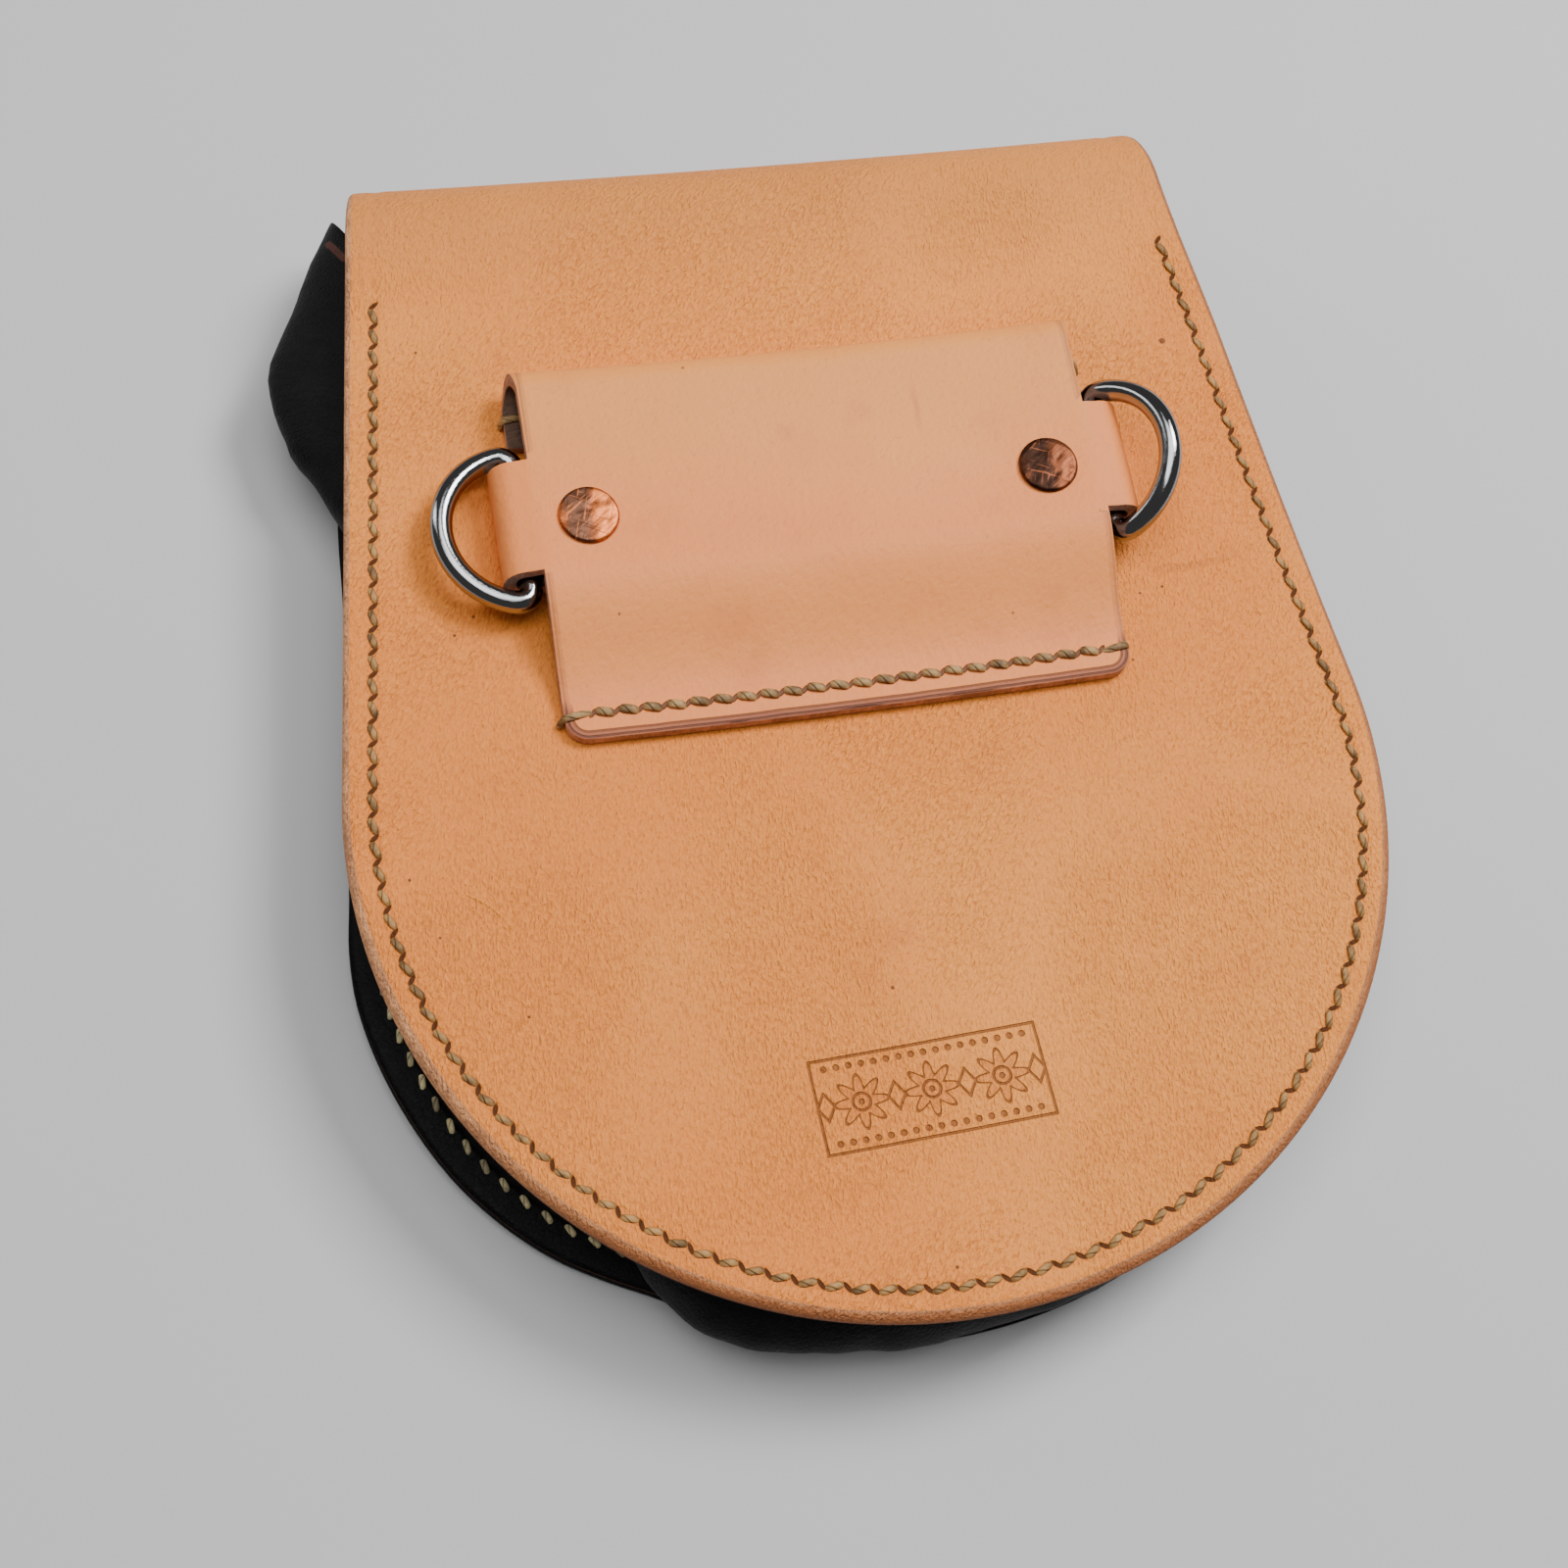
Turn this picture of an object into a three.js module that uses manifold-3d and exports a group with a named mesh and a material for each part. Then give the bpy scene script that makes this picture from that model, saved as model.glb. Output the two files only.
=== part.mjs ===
// Leather belt pouch (sporran) lying on its front flap with its back up.
// Millimetres, +Z up, +Y from the round bottom towards the fold, +X to the right of the back.
// Heights along the pouch (y) are first measured from the lowest stitch of the rim seam.

import * as THREE from 'three';
import { mergeVertices } from 'three/addons/utils/BufferGeometryUtils.js';
import Module from 'manifold-3d';

const wasm = await Module();
wasm.setup();

// Driving dimensions: the case
const GAP = 0.35; // between two pieces that lie on each other
const SEAM_RADIUS = 88.6; // round bottom, at the stitches
const SEAM_TAPER = 6.2; // lean of each straight side, degrees
const SEAM_MARGIN = 5.3; // stitches to cut edge
const STITCHED_HEIGHT = 195.5; // lowest stitch to the last one at each side
const SEAM_TAIL = 2.5; // leather past the last stitch
const BACK_LEATHER = 3.0;
const FRONT_LEATHER = 1.5;
const GUSSET_LEATHER = 1.3;
const MIDDLE_HEIGHT = 23; // top of the back at its lowest place, above the table
const DISH_CENTRE = 97; // where that place is, above the lowest stitch
const END_RISE = 5.0; // how far the bottom end curls up
const SIDE_RISE = 4.4; // how far each side curls up
const FOLD_START = 210.3; // where the back begins to roll over into the flap
const FOLD_FLATTEN = 0.6; // share of the side curl that the fold takes out
const FOLD_REACH = 40; // length over which it does so
const FLAP_END = 58; // tip of the flap, above the lowest stitch
const FLAP_ROUND = 75; // length of the flap's rounded end
const FRONT_DROOP = 2.7; // how far the front sags to the table past the flap

// Driving dimensions: the gusset, the leather strip round the side
const BULGE = 20; // furthest that it stands out past the seam
const SPREAD = 4.7; // furthest that the front's seam lies outside the back's
const EAR_RISE = 25; // how far its loose ends stand up past the seam
const EAR_START = 0.86; // share of the half seam where an end starts to stand up
const FOLD_INSET = 1.5; // stitches to the gusset's fold

// Driving dimensions: belt loop, rings and rivets
const LOOP_LEATHER = 2.3;
const LOOP_X = -1.2; // the loop sits a little left of the middle
const LOOP_HALF = 52.5; // half width of its outer layer
const LOOP_UNDER_HALF = 55.3; // half width of the layer sewn under the fold
const LOOP_BOTTOM = 104.3; // lower edge, above the lowest stitch
const LOOP_SEWN = 7; // length of its lower edge that lies flat on the back
const LOOP_RAMP = 17.5; // length over which it lifts off the back
const LOOP_FOLD = 170.3; // where it rolls over
const LOOP_RISE = 10.7; // top of the outer layer above the back
const LOOP_UNDER = 7.4; // length of the layer sewn under the fold
const LOOP_CORNER = 5;
const LOOP_TURN = 0.5; // the loop sits a little askew, degrees
const TAB_Y = 145;
const TAB_END = 36; // inner end of the turned-under tab, from the loop's middle
const TAB_CORNER = 4;
const TAB_WRAP = 225; // how far the tab turns round the bar before it goes back in, degrees
const WIRE = 4.24; // ring wire diameter
const RING_INNER = 25; // ring's inside width; the tab fills it
const RING_CORNER = 2.6; // bend between the ring's bar and its bow
const RING_SPLIT = 0.3; // unwelded joint in the middle of the bar
const LEFT_RING_STANDS = 8; // how far each ring stands up, degrees from level
const RIGHT_RING_STANDS = 45;
const TAB_CLEARANCE = 0.5; // tab's side edges to the ring
const RING_PLAY = 0.5; // slack of the tab round the bar
const BAR_CLEARANCE = 0.3; // loop's side edge to the bar
const RIVET_INSET = 9.4; // from the loop's side edge
const RIVET_DROP = 1.2; // below the middle of the tab
const RIVET_HEAD = 11.1;
const RIVET_SHANK = 3.4;
const RIVET_BURR = 8.2;
const RIVET_CAP = 1.0; // thickness of head and burr
const HOLE_PLAY = 0.3;

// The gusset round the pouch. at: share of the half seam, 0 at the lowest stitch, 1 at its
// end. bulge: share of BULGE, outwards; spread: share of SPREAD.
const LEFT_SIDE = [
  { at: 0.0, bulge: 0.345, spread: 0.0 },
  { at: 0.06, bulge: 0.42, spread: 0.12 },
  { at: 0.1, bulge: 0.47, spread: 0.12 },
  { at: 0.15, bulge: 0.545, spread: 0.05 },
  { at: 0.2, bulge: 0.4, spread: 0.0 },
  { at: 0.235, bulge: 0.1, spread: 0.28 },
  { at: 0.28, bulge: -0.1, spread: 0.7 },
  { at: 0.34, bulge: -0.12, spread: 0.98 },
  { at: 0.39, bulge: -0.125, spread: 1.0 },
  { at: 0.475, bulge: -0.12, spread: 0.85 },
  { at: 0.515, bulge: -0.11, spread: 0.58 },
  { at: 0.555, bulge: -0.1, spread: 0.2 },
  { at: 0.62, bulge: -0.08, spread: 0.0 },
  { at: 0.7, bulge: -0.06, spread: 0.15 },
  { at: 0.79, bulge: -0.02, spread: 0.4 },
  { at: 0.843, bulge: 0.4, spread: 0.6 },
  { at: 0.871, bulge: 0.56, spread: 0.64 },
  { at: 0.9, bulge: 0.79, spread: 0.64 },
  { at: 0.951, bulge: 1.0, spread: 0.6 },
  { at: 0.987, bulge: 0.94, spread: 0.55 },
  { at: 1.04, bulge: 0.71, spread: 0.5 },
  { at: 1.1, bulge: 0.41, spread: 0.5 },
];
const RIGHT_SIDE = [
  { at: 0.0, bulge: 0.345, spread: 0.0 },
  { at: 0.11, bulge: 0.28, spread: -0.1 },
  { at: 0.22, bulge: 0.08, spread: -0.2 },
  { at: 0.29, bulge: -0.1, spread: -0.2 },
  { at: 0.5, bulge: -0.14, spread: -0.2 },
  { at: 0.8, bulge: -0.14, spread: -0.1 },
  { at: 1.09, bulge: -0.12, spread: 0.0 },
];

// How finely the curved walls are divided
const ACROSS = 10;
const ARC_STEP = 8; // degrees
const STATIONS = 60;

// Value of one column of a table at a place between its rows, along a smooth curve
function along(table, column, at) {
  const last = table.length - 1;
  let i = 0;
  while (i < last - 1 && at > table[i + 1].at) i += 1;
  const slope = (k) => {
    const a = table[Math.max(k - 1, 0)];
    const b = table[Math.min(k + 1, last)];
    return (b[column] - a[column]) / (b.at - a.at);
  };
  const span = table[i + 1].at - table[i].at;
  const t = THREE.MathUtils.clamp((at - table[i].at) / span, 0, 1);
  const rise = t * t * (3 - 2 * t);
  const bend = t * (1 - t) * ((1 - t) * slope(i) - t * slope(i + 1)) * span;
  return THREE.MathUtils.lerp(table[i][column], table[i + 1][column], rise) + bend;
}

// A leather wall from a grid of points on one face: the other face lies `thickness` away,
// along the grid's normal (columns cross rows), and the four edges are closed.
function leatherWall(columns, rows, pointAt, thickness) {
  const face = [];
  for (let r = 0; r <= rows; r += 1) {
    for (let c = 0; c <= columns; c += 1) face.push(pointAt(c, r));
  }
  const index = (c, r) => r * (columns + 1) + c;
  const other = [];
  for (let r = 0; r <= rows; r += 1) {
    for (let c = 0; c <= columns; c += 1) {
      const [left, right] = [face[index(Math.max(c - 1, 0), r)], face[index(Math.min(c + 1, columns), r)]];
      const [low, high] = [face[index(c, Math.max(r - 1, 0))], face[index(c, Math.min(r + 1, rows))]];
      const normal = right.clone().sub(left).cross(high.clone().sub(low)).normalize();
      other.push(face[index(c, r)].clone().addScaledVector(normal, thickness));
    }
  }
  const shift = face.length;
  const triangles = [];
  const quad = (a, b, c, d) => triangles.push(a, b, c, a, c, d);
  for (let r = 0; r < rows; r += 1) {
    for (let c = 0; c < columns; c += 1) {
      const corners = [index(c, r), index(c + 1, r), index(c + 1, r + 1), index(c, r + 1)];
      quad(...corners);
      quad(...corners.reverse().map((k) => k + shift));
    }
  }
  const edge = (a, b) => quad(b, a, a + shift, b + shift);
  for (let c = 0; c < columns; c += 1) {
    edge(index(c, 0), index(c + 1, 0));
    edge(index(c + 1, rows), index(c, rows));
  }
  for (let r = 0; r < rows; r += 1) {
    edge(index(columns, r), index(columns, r + 1));
    edge(index(0, r + 1), index(0, r));
  }
  return closedGeometry([...face, ...other], triangles);
}

// Geometry from points and triangles, turned so that its faces point outwards
function closedGeometry(points, triangles) {
  let volume = 0;
  for (let k = 0; k < triangles.length; k += 3) {
    const [a, b, c] = [points[triangles[k]], points[triangles[k + 1]], points[triangles[k + 2]]];
    volume += a.dot(b.clone().cross(c));
  }
  const ordered = volume < 0 ? triangles.slice().reverse() : triangles;
  const geometry = new THREE.BufferGeometry();
  geometry.setAttribute('position', new THREE.Float32BufferAttribute(points.flatMap((p) => p.toArray()), 3));
  geometry.setIndex(ordered);
  return geometry;
}

function toSolid(geometry) {
  const bare = geometry.clone();
  for (const name of ['normal', 'uv']) bare.deleteAttribute(name);
  const merged = mergeVertices(bare, 1e-4);
  const vertProperties = new Float32Array(merged.attributes.position.array);
  const triVerts = new Uint32Array(merged.index.array);
  return new wasm.Manifold(new wasm.Mesh({ numProp: 3, vertProperties, triVerts }));
}

function toGeometry(solid) {
  const mesh = solid.getMesh();
  const geometry = new THREE.BufferGeometry();
  geometry.setAttribute('position', new THREE.BufferAttribute(mesh.vertProperties, 3));
  geometry.setIndex(new THREE.BufferAttribute(mesh.triVerts, 1));
  return geometry;
}

// The rim seam: a round bottom and two leaning sides. s is the length along it from the
// lowest stitch, to the right if positive.
const taper = THREE.MathUtils.degToRad(SEAM_TAPER);
const arcTurn = Math.PI / 2 + taper;
const arcLength = SEAM_RADIUS * arcTurn;
const arcTop = SEAM_RADIUS * (1 - Math.cos(arcTurn));
const sideLength = (height) => arcLength + (height - arcTop) / Math.cos(taper);
const seamEnd = sideLength(STITCHED_HEIGHT + SEAM_TAIL);

function rim(s, outwards) {
  const turn = Math.min(Math.abs(s) / SEAM_RADIUS, arcTurn);
  const beyond = Math.max(Math.abs(s) - arcLength, 0);
  const side = Math.sign(s) || 1;
  const radius = SEAM_RADIUS + outwards;
  const x = radius * Math.sin(turn) + beyond * Math.cos(turn);
  const y = SEAM_RADIUS - radius * Math.cos(turn) + beyond * Math.sin(turn);
  return { x: side * x, y };
}

// Height of the top of the back, which curls up towards its ends and sides
const foldFade = (y) => 1 - FOLD_FLATTEN * THREE.MathUtils.smoothstep(y, FOLD_START - FOLD_REACH, FOLD_START);
const endCurl = (y) => MIDDLE_HEIGHT + END_RISE * ((y - DISH_CENTRE) / DISH_CENTRE) ** 2;
const sideCurl = (x) => SIDE_RISE * (x / SEAM_RADIUS) ** 2;
const backTop = (x, y) => endCurl(y) + foldFade(y) * sideCurl(x);

function backSlope(x, y) {
  const step = 0.5;
  const across = (backTop(x + step, y) - backTop(x - step, y)) / (2 * step);
  const up = (backTop(x, y + step) - backTop(x, y - step)) / (2 * step);
  return { across, up, stretch: Math.hypot(1, across, up) };
}

const underBack = (x, y, depth) => backTop(x, y) - depth * backSlope(x, y).stretch;
const onBack = (x, y, height) => new THREE.Vector3(x, y, backTop(x, y) + height);

// The front lies on the flap and sags to the table where the flap ends
function frontTop(y) {
  const sag = FRONT_DROOP * (1 - THREE.MathUtils.smoothstep(y, 0, FLAP_END - SEAM_MARGIN));
  return BACK_LEATHER + GAP + FRONT_LEATHER - sag;
}

const side = (s) => (s < 0 ? LEFT_SIDE : RIGHT_SIDE);
const share = (s) => Math.abs(s) / seamEnd;
const frontSpread = (s) => SPREAD * along(side(s), 'spread', share(s));
const bulgeOut = (s) => BULGE * along(side(s), 'bulge', share(s));

// Back, fold and flap, cut from one piece: up the back, round the fold and down the front
function backAndFlap() {
  const rows = [];
  const backRow = (s) => {
    const edge = rim(s, SEAM_MARGIN);
    rows.push({ y: edge.y, z: endCurl(edge.y), half: edge.x, dish: foldFade(edge.y) });
  };
  const arcSteps = Math.round(THREE.MathUtils.radToDeg(arcTurn) / ARC_STEP);
  for (let k = 0; k <= arcSteps; k += 1) backRow(arcLength * THREE.MathUtils.lerp(0.5 / arcSteps, 1, k / arcSteps));
  const foldStart = sideLength(FOLD_START);
  const sideSteps = 7;
  for (let k = 1; k <= sideSteps; k += 1) backRow(THREE.MathUtils.lerp(arcLength, foldStart, k / sideSteps));

  const start = rows[rows.length - 1];
  const lean = Math.atan(backSlope(0, start.y).up);
  const radius = start.z / (1 + Math.cos(lean));
  const centre = start.y + radius * Math.sin(lean);
  const halfAt = (y) => start.half - (y - start.y) * Math.tan(taper);
  const foldSteps = 10;
  for (let k = 1; k <= foldSteps; k += 1) {
    const turn = THREE.MathUtils.lerp(-lean, Math.PI, k / foldSteps);
    const y = centre + radius * Math.sin(turn);
    const dish = start.dish * (1 - THREE.MathUtils.smoothstep(k / foldSteps, 0, 1));
    rows.push({ y, z: radius * (1 + Math.cos(turn)), half: halfAt(y), dish });
  }

  const flapSides = 4;
  const roundStart = FLAP_END + FLAP_ROUND;
  for (let k = 1; k <= flapSides; k += 1) {
    const y = THREE.MathUtils.lerp(centre, roundStart, k / flapSides);
    rows.push({ y, z: 0, half: halfAt(y), dish: 0 });
  }
  const endSteps = 9;
  for (let k = 1; k <= endSteps; k += 1) {
    const turn = (Math.PI / 2) * (k / (endSteps + 0.5));
    const y = roundStart - FLAP_ROUND * Math.sin(turn);
    rows.push({ y, z: 0, half: halfAt(roundStart) * Math.cos(turn), dish: 0 });
  }

  return leatherWall(ACROSS, rows.length - 1, (c, r) => {
    const row = rows[r];
    const x = row.half * THREE.MathUtils.lerp(-1, 1, c / ACROSS);
    return new THREE.Vector3(x, row.y, row.z + row.dish * sideCurl(x));
  }, -BACK_LEATHER);
}

// Front of the pouch: the same outline, spread where the pouch has slumped to the left
function frontPanel() {
  const rows = 24;
  return leatherWall(ACROSS, rows, (c, r) => {
    const s = seamEnd * THREE.MathUtils.lerp(0.5 / rows, 1, r / rows);
    const left = rim(-s, SEAM_MARGIN + frontSpread(-s));
    const right = rim(s, SEAM_MARGIN + frontSpread(s));
    const x = THREE.MathUtils.lerp(left.x, right.x, c / ACROSS);
    const y = THREE.MathUtils.lerp(left.y, right.y, c / ACROSS);
    return new THREE.Vector3(x, y, frontTop(y));
  }, -FRONT_LEATHER);
}

// Gusset: a strip whose two margins are turned outwards under the back and onto the front.
// Its section runs from the back's edge in to the fold, down the wall and out to the front's edge.
function gusset() {
  const wallSteps = 8;
  const margin = SEAM_MARGIN - GAP;
  const half = GUSSET_LEATHER / 2;
  const turn = GUSSET_LEATHER;
  const section = [{ out: margin, level: 0 }, { out: turn - FOLD_INSET, level: 0 }];
  for (let k = 0; k <= wallSteps; k += 1) section.push({ wall: k / wallSteps });
  section.push({ out: turn - FOLD_INSET, level: 1 }, { out: margin, level: 1 });

  const pointAt = (c, r) => {
    const s = seamEnd * THREE.MathUtils.lerp(-1, 1, r / STATIONS);
    const spread = frontSpread(s);
    const place = section[c];
    const seam = rim(s, 0);
    const ceiling = (p) => underBack(p.x, p.y, BACK_LEATHER + GAP + half);
    const floor = (p) => frontTop(p.y) + GAP + half;
    if (place.wall === undefined) {
      const p = rim(s, place.out + place.level * spread);
      return new THREE.Vector3(p.x, p.y, place.level ? floor(p) : ceiling(p));
    }
    const t = place.wall;
    const standing = THREE.MathUtils.smoothstep(share(s), EAR_START, 1);
    const rise = EAR_RISE * standing * Math.sqrt(Math.abs(Math.sin(Math.PI * t)));
    const along = s + Math.sign(s) * rise;
    const p = rim(along, t * spread - FOLD_INSET + bulgeOut(along) * Math.sin(Math.PI * t));
    const z = THREE.MathUtils.lerp(ceiling(seam) - turn, floor(seam) + turn, t);
    return new THREE.Vector3(p.x, p.y, z);
  };
  const columns = section.length - 1;
  const centred = (c, r) => {
    const at = (k, m) => pointAt(THREE.MathUtils.clamp(k, 0, columns), THREE.MathUtils.clamp(m, 0, STATIONS));
    const across = at(c + 1, r).sub(at(c - 1, r));
    const upwards = at(c, r + 1).sub(at(c, r - 1));
    return pointAt(c, r).addScaledVector(across.cross(upwards).normalize(), -half);
  };
  return leatherWall(columns, STATIONS, centred, GUSSET_LEATHER);
}

// Ring bar: where the tab turns round it
const wireRadius = WIRE / 2;
const tabRadius = wireRadius + RING_PLAY + LOOP_LEATHER;
const barX = LOOP_HALF + BAR_CLEARANCE + wireRadius;
const rivetX = LOOP_HALF - RIVET_INSET;
const barHeight = GAP + tabRadius;
const bowRadius = (RING_INNER + WIRE) / 2;
const tabHalf = Math.sqrt((RING_INNER / 2 - TAB_CLEARANCE) ** 2 - tabRadius ** 2);

// Height of the loop's outer face above the back
const loopFlat = LOOP_BOTTOM + LOOP_SEWN;
const loopLift = (y) => THREE.MathUtils.lerp(GAP + LOOP_LEATHER, LOOP_RISE,
  THREE.MathUtils.smoothstep(y, loopFlat, loopFlat + LOOP_RAMP));

// A place on the loop, x from its middle, `height` above the back
function onLoop(x, y, height) {
  const turned = new THREE.Vector2(x, y).rotateAround(new THREE.Vector2(0, TAB_Y), THREE.MathUtils.degToRad(LOOP_TURN));
  return onBack(LOOP_X + turned.x, turned.y, height);
}

// Belt loop: sewn down along its lower edge, lifted over the belt, rolled over and sewn under
function loopStrip() {
  const rows = [];
  const cornerSteps = 3;
  for (let k = 0; k < cornerSteps; k += 1) {
    const turn = (Math.PI / 2) * (k / cornerSteps);
    const y = LOOP_BOTTOM + LOOP_CORNER * (1 - Math.cos(turn));
    rows.push({ y, h: loopLift(y), half: LOOP_HALF - LOOP_CORNER * (1 - Math.sin(turn)) });
  }
  const riseSteps = 8;
  for (let k = 0; k <= riseSteps; k += 1) {
    const y = THREE.MathUtils.lerp(LOOP_BOTTOM + LOOP_CORNER, loopFlat + LOOP_RAMP, k / riseSteps);
    rows.push({ y, h: loopLift(y), half: LOOP_HALF });
  }
  const levelSteps = 3;
  for (let k = 1; k <= levelSteps; k += 1) {
    const y = THREE.MathUtils.lerp(loopFlat + LOOP_RAMP, LOOP_FOLD, k / levelSteps);
    rows.push({ y, h: LOOP_RISE, half: LOOP_HALF });
  }
  const foldSteps = 9;
  const radius = (LOOP_RISE - GAP) / 2;
  for (let k = 1; k <= foldSteps; k += 1) {
    const turn = Math.PI * (k / foldSteps);
    const half = THREE.MathUtils.lerp(LOOP_HALF, LOOP_UNDER_HALF, k / foldSteps);
    rows.push({ y: LOOP_FOLD + radius * Math.sin(turn), h: GAP + radius * (1 + Math.cos(turn)), half });
  }
  rows.push({ y: LOOP_FOLD - LOOP_UNDER, h: GAP, half: LOOP_UNDER_HALF });
  return leatherWall(ACROSS, rows.length - 1, (c, r) => {
    const { y, h, half } = rows[r];
    return onLoop(half * THREE.MathUtils.lerp(-1, 1, c / ACROSS), y, h);
  }, -LOOP_LEATHER);
}

// Tab: runs out of the loop's side, turns round the ring's bar and comes back under the loop
function loopTab(hand) {
  const rows = [];
  const root = LOOP_HALF - LOOP_LEATHER;
  const underLift = LOOP_RISE - 2 * LOOP_LEATHER - GAP;
  const rootSteps = 2;
  for (let k = 0; k < rootSteps; k += 1) {
    const t = k / rootSteps;
    const h = THREE.MathUtils.lerp(LOOP_RISE, barHeight + tabRadius, t);
    rows.push({ x: THREE.MathUtils.lerp(root, barX, t), h, half: tabHalf });
  }
  const wrap = THREE.MathUtils.degToRad(TAB_WRAP);
  const turnSteps = 12;
  for (let k = 0; k <= turnSteps; k += 1) {
    const turn = wrap * (k / turnSteps);
    rows.push({ x: barX + tabRadius * Math.sin(turn), h: barHeight + tabRadius * Math.cos(turn), half: tabHalf });
  }
  const last = rows[rows.length - 1];
  const rise = underLift - last.h;
  rows.push({ x: last.x + rise / Math.tan(wrap) * -1, h: underLift, half: tabHalf });
  const cornerSteps = 3;
  for (let k = 0; k <= cornerSteps; k += 1) {
    const turn = (Math.PI / 2) * (k / cornerSteps);
    const x = TAB_END + TAB_CORNER * (1 - Math.sin(turn));
    rows.push({ x, h: underLift, half: tabHalf - TAB_CORNER * (1 - Math.cos(turn)) });
  }
  const columns = 2;
  return leatherWall(columns, rows.length - 1, (c, r) => {
    const { x, h, half } = rows[r];
    return onLoop(hand * x, TAB_Y + half * THREE.MathUtils.lerp(-1, 1, c / columns), h);
  }, hand * LOOP_LEATHER);
}

// Sets a piece on the loop at a rivet's place, turned to the slope of the back
function atRivet(object, hand) {
  object.position.copy(onLoop(hand * rivetX, TAB_Y - RIVET_DROP, LOOP_RISE));
  const slope = backSlope(object.position.x, object.position.y);
  const normal = new THREE.Vector3(-slope.across, -slope.up, 1).normalize();
  object.quaternion.setFromUnitVectors(new THREE.Vector3(0, 0, 1), normal);
  object.updateMatrix();
  return object;
}

function rivetHole(hand) {
  const radius = RIVET_SHANK / 2 + HOLE_PLAY;
  const drill = new THREE.CylinderGeometry(radius, radius, 3 * LOOP_RISE, 16).rotateX(Math.PI / 2);
  return drill.applyMatrix4(atRivet(new THREE.Object3D(), hand).matrix);
}

function beltLoop() {
  let loop = toSolid(loopStrip());
  for (const hand of [-1, 1]) loop = loop.add(toSolid(loopTab(hand)));
  for (const hand of [-1, 1]) loop = loop.subtract(toSolid(rivetHole(hand)));
  return toGeometry(loop);
}

// Split ring bent from round wire: a straight bar in the tab and a half-round bow
function dRing() {
  const path = new THREE.Path();
  const cut = RING_CORNER / bowRadius;
  path.moveTo(0, RING_SPLIT / 2);
  path.lineTo(0, bowRadius - RING_CORNER);
  path.quadraticCurveTo(0, bowRadius, bowRadius * Math.sin(cut), bowRadius * Math.cos(cut));
  path.absarc(0, 0, bowRadius, Math.PI / 2 - cut, cut - Math.PI / 2, true);
  path.quadraticCurveTo(0, -bowRadius, 0, RING_CORNER - bowRadius);
  path.lineTo(0, -RING_SPLIT / 2);
  const steps = 38;
  const points = path.getSpacedPoints(steps).map((p) => new THREE.Vector3(p.x, p.y, 0));
  const section = new THREE.Shape();
  section.absarc(0, 0, wireRadius, 0, 2 * Math.PI);
  return new THREE.ExtrudeGeometry(section, {
    steps, curveSegments: 5, bevelEnabled: false, extrudePath: new THREE.CatmullRomCurve3(points),
  });
}

// Each ring hangs by its bar in the tab and stands up from level by its own angle
function hangRing(mesh, hand, stands) {
  const bar = onLoop(hand * barX, TAB_Y, barHeight);
  const barway = onLoop(hand * barX, TAB_Y + 1, barHeight).sub(bar).normalize().multiplyScalar(hand);
  const level = new THREE.Vector3(hand, 0, 0);
  const up = level.clone().cross(barway).normalize();
  const outwards = new THREE.Vector3().crossVectors(barway, up);
  mesh.quaternion.setFromRotationMatrix(new THREE.Matrix4().makeBasis(outwards, barway, up));
  mesh.rotateY(-THREE.MathUtils.degToRad(stands));
  mesh.position.copy(bar);
  return mesh;
}

// Rivet: flat head over the loop, shank through both layers, burr under the tab
function rivet() {
  const grip = 2 * LOOP_LEATHER + GAP;
  const under = -grip - GAP;
  const head = RIVET_HEAD / 2;
  const shank = RIVET_SHANK / 2;
  const burr = RIVET_BURR / 2;
  const chamfer = 0.25 * RIVET_CAP;
  const profile = [
    [0, under - 1.4 * RIVET_CAP], [shank, under - 1.2 * RIVET_CAP], [shank, under - RIVET_CAP],
    [burr, under - RIVET_CAP], [burr, under], [shank, under], [shank, GAP], [head, GAP],
    [head, GAP + RIVET_CAP - chamfer], [head - chamfer, GAP + RIVET_CAP], [0, GAP + RIVET_CAP],
  ].map(([x, y]) => new THREE.Vector2(x, y));
  return new THREE.LatheGeometry(profile, 20).rotateX(Math.PI / 2);
}

const finishes = {
  naturalLeather: new THREE.MeshStandardMaterial({ color: 0xd39c70, roughness: 0.6, metalness: 0 }),
  loopLeather: new THREE.MeshStandardMaterial({ color: 0xdaa384, roughness: 0.5, metalness: 0 }),
  blackLeather: new THREE.MeshStandardMaterial({ color: 0x1d1d1d, roughness: 0.55, metalness: 0 }),
  chrome: new THREE.MeshStandardMaterial({ color: 0xd8dadc, roughness: 0.1, metalness: 1 }),
  copper: new THREE.MeshStandardMaterial({ color: 0xa8664a, roughness: 0.35, metalness: 1 }),
};

function piece(name, geometry, finish) {
  const mesh = new THREE.Mesh(geometry, finish);
  mesh.name = name;
  return mesh;
}

const pouch = new THREE.Group();
pouch.add(
  piece('back_and_flap', backAndFlap(), finishes.naturalLeather),
  piece('front_panel', frontPanel(), finishes.blackLeather),
  piece('gusset', gusset(), finishes.blackLeather),
  piece('belt_loop', beltLoop(), finishes.loopLeather),
);
for (const [name, hand, stands] of [['left', -1, LEFT_RING_STANDS], ['right', 1, RIGHT_RING_STANDS]]) {
  pouch.add(hangRing(piece(`d_ring_${name}`, dRing(), finishes.chrome), hand, stands));
  pouch.add(atRivet(piece(`rivet_${name}`, rivet(), finishes.copper), hand));
}

// The origin is the middle of the pouch's footprint on the table
const bounds = new THREE.Box3().setFromObject(pouch, true);
const middle = bounds.getCenter(new THREE.Vector3());
pouch.position.set(-middle.x, -middle.y, -bounds.min.z);

const model = new THREE.Group();
model.add(pouch);
model.updateMatrixWorld(true);

export default model;
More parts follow.
